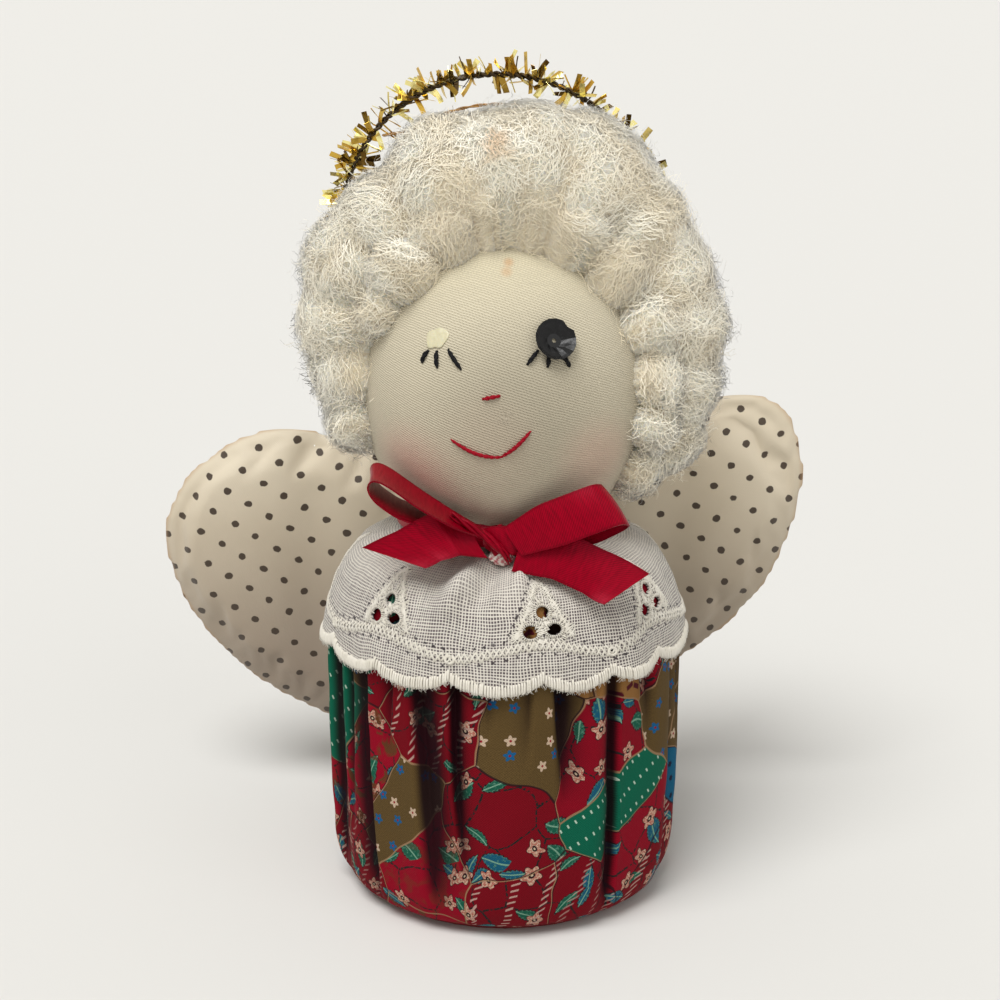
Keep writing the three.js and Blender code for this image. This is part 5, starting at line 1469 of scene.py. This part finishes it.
def satin_ribbon(middles, across, widths, steps, cup, columns=9):
    """A ribbon along its middles: rows of places from one edge to the other, on its face and on its back.

    Each row is middle + across x width x share. The face and the back are a thickness apart, along (across
    x along), and cup bows the row by so many millimetres.
    """
    table = rounded(np.concatenate([middles, across, np.asarray(widths)[:, None]], 1), steps, 5)
    line, across, width = table[:, :3], unit(table[:, 3:6]), table[:, 6:]
    other = unit(np.cross(across, unit(np.gradient(line, axis=0))))[:, None]
    share = np.linspace(1, -1, columns)
    face = line[:, None] + (across * width)[:, None] * share[:, None] * RIBBON_WIDTH / 2
    face = face + other * (cup * (1 - share**2))[:, None]
    half = other * RIBBON_THICKNESS / 2
    return both_sides(face + half, face - half), ribbon_cloth(share, lengths_along(line))


def ribbon_piece(name, points, cloth, loop=False):
    """One length of ribbon on the body, with its edges kept sharp."""
    rows, columns = points.shape[:2]
    tables = [quads(rows, columns, loop=loop)] + ([] if loop else lids(rows, columns))
    piece = piece_from(name, points, tables, satin_finish, cloth=cloth)
    piece.data.set_sharp_from_angle(angle=math.radians(50))
    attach(piece, "body")
    return piece


satin_finish, _ = finish_of(
    "red_satin_ribbon", srgb(176, 8, 38), 0.4, Specular_IOR_Level=0.4, Specular_Tint=(1.0, 0.12, 0.2, 1))
cloth = attribute(satin_finish, "cloth", "Vector")
slub = noise(vectors("MULTIPLY", cloth, (0.5, 3.0, 1)), 0.9, 3.0)
weave = ridges(cloth[0] + cloth[1], 0.4) * 0.13 + slub * 0.6
satin = mixed(between(weave, 0.0, 0.6), srgb(100, 0, 14), srgb(150, 0, 28))
satin = mixed(between(RIBBON_WIDTH / 2 - abs(cloth[0]), 0.45, 0.25, 0.0, 0.5), satin, srgb(92, 0, 12))
painted(satin_finish, satin, weave, 0.03, roughness=between(weave, 0.0, 0.6, 0.42, 0.27))

for name, places in BOW_PLACES.items():
    middles = KNOT_MIDDLE + np.array([middle for middle, _, _ in places]) * RIBBON_WIDTH
    across = unit(np.array([direction for _, direction, _ in places], float))
    points, cloth = satin_ribbon(middles, across, [width for _, _, width in places], 60, 0.25)
    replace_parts(ribbon_piece(name + "_satin", points, cloth), name)

turn = np.linspace(0, 2 * np.pi, 161)[:-1]
low_radius = 15.3 + 0.1 * np.sin(3 * turn)
low = np.stack([low_radius * np.sin(turn), -low_radius * np.cos(turn), 54.6 + 0 * turn], -1)
high = np.stack([12.9 * np.sin(turn), -12.9 * np.cos(turn), 58.3 + 0 * turn], -1)
share = np.linspace(1, 0, 9)
band = high[:, None] * share[:, None] + low[:, None] * (1 - share[:, None])
out = np.stack([np.sin(turn), -np.cos(turn), 0.7 + 0 * turn], -1)[:, None] / 1.22
bow_out = 0.25 * np.sin(np.pi * share[:, None]) + 0.12
band_points = both_sides(band + out * bow_out, band + out * (bow_out - RIBBON_THICKNESS))
band_piece = ribbon_piece("neck_ribbon_satin", band_points, ribbon_cloth(2 * share - 1, turn * 14), loop=True)
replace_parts(band_piece, "neck_ribbon")

ball = ball_grid(40, 56, 0.05)
crumple = 1 + 0.09 * np.sin(4.2 * ball[..., :1] * 2.3 + 2.2 * ball[..., 2:])
crumple = crumple + 0.05 * ripple(ball * 3, 2.4, 9)[..., None]
knot_points = KNOT_MIDDLE + [0.4, 0.3, 0.1] + ball * crumple * [2.3, 1.3, 2.2]
knot_cloth = np.stack([ball[..., 0] * 2.6, ball[..., 2] * 3, 0 * ball[..., 0]], -1)
knot = grid_piece("bow_knot_satin", knot_points, satin_finish, cloth=knot_cloth)
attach(knot, "body")
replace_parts(knot, "bow_knot")
ribbon_piece("bow_knot_wrap", *satin_ribbon(KNOT_MIDDLE + WRAP_MIDDLES, WRAP_ACROSS, WRAP_WIDTHS, 50, 0.3))
wind = np.linspace(0, 7.5, 80) + np.array([[0.0], [2.1], [4.2]])
twist_lines = (
    rounded(KNOT_MIDDLE + TWIST_MIDDLES, 80, 10) + (0.34 * np.cos(wind))[..., None] * [0.45, 0.2, 0.85])
twist_lines = twist_lines + (0.3 * np.sin(wind))[..., None] * [0, -1, 0]
thin_ends = 0.36 * np.sin(np.pi * np.linspace(0.03, 0.97, 80)) ** 0.5
points, tables = threads(twist_lines, thin_ends, 8, guide=(0.1, -1, 0.1))
twist_cloth = np.stack([points[..., 0], points[..., 2], 0 * points[..., 0]], -1)
twist = piece_from("bow_knot_twist", points, tables, satin_finish, cloth=twist_cloth)
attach(twist, "body")

# Glue drop
# A drop of dried glue and frayed thread below the knot holds the bow to the collar.
# It is a small crumpled ball, flat against the cloth.
lumps = 1 + 0.16 * ripple(ball * 3, 2.0, 13)[..., None]
drop_points = KNOT_MIDDLE + [0.53, -0.07, -2.09] + ball * lumps * [1.6, 0.6, 1.1]
fray_finish, place = finish_of("stained_glue_and_thread", srgb(214, 176, 172), 0.45)
bits = noise(place, 2.2, 4.0)
painted(fray_finish, mixed(between(bits, 0.4, 0.62), srgb(236, 226, 216), srgb(186, 92, 100)), bits, 0.15)
glue_drop = grid_piece("glue_drop_bead", drop_points, fray_finish)
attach(glue_drop, "body")
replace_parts(glue_drop, "glue_drop")

bpy.context.view_layer.update()
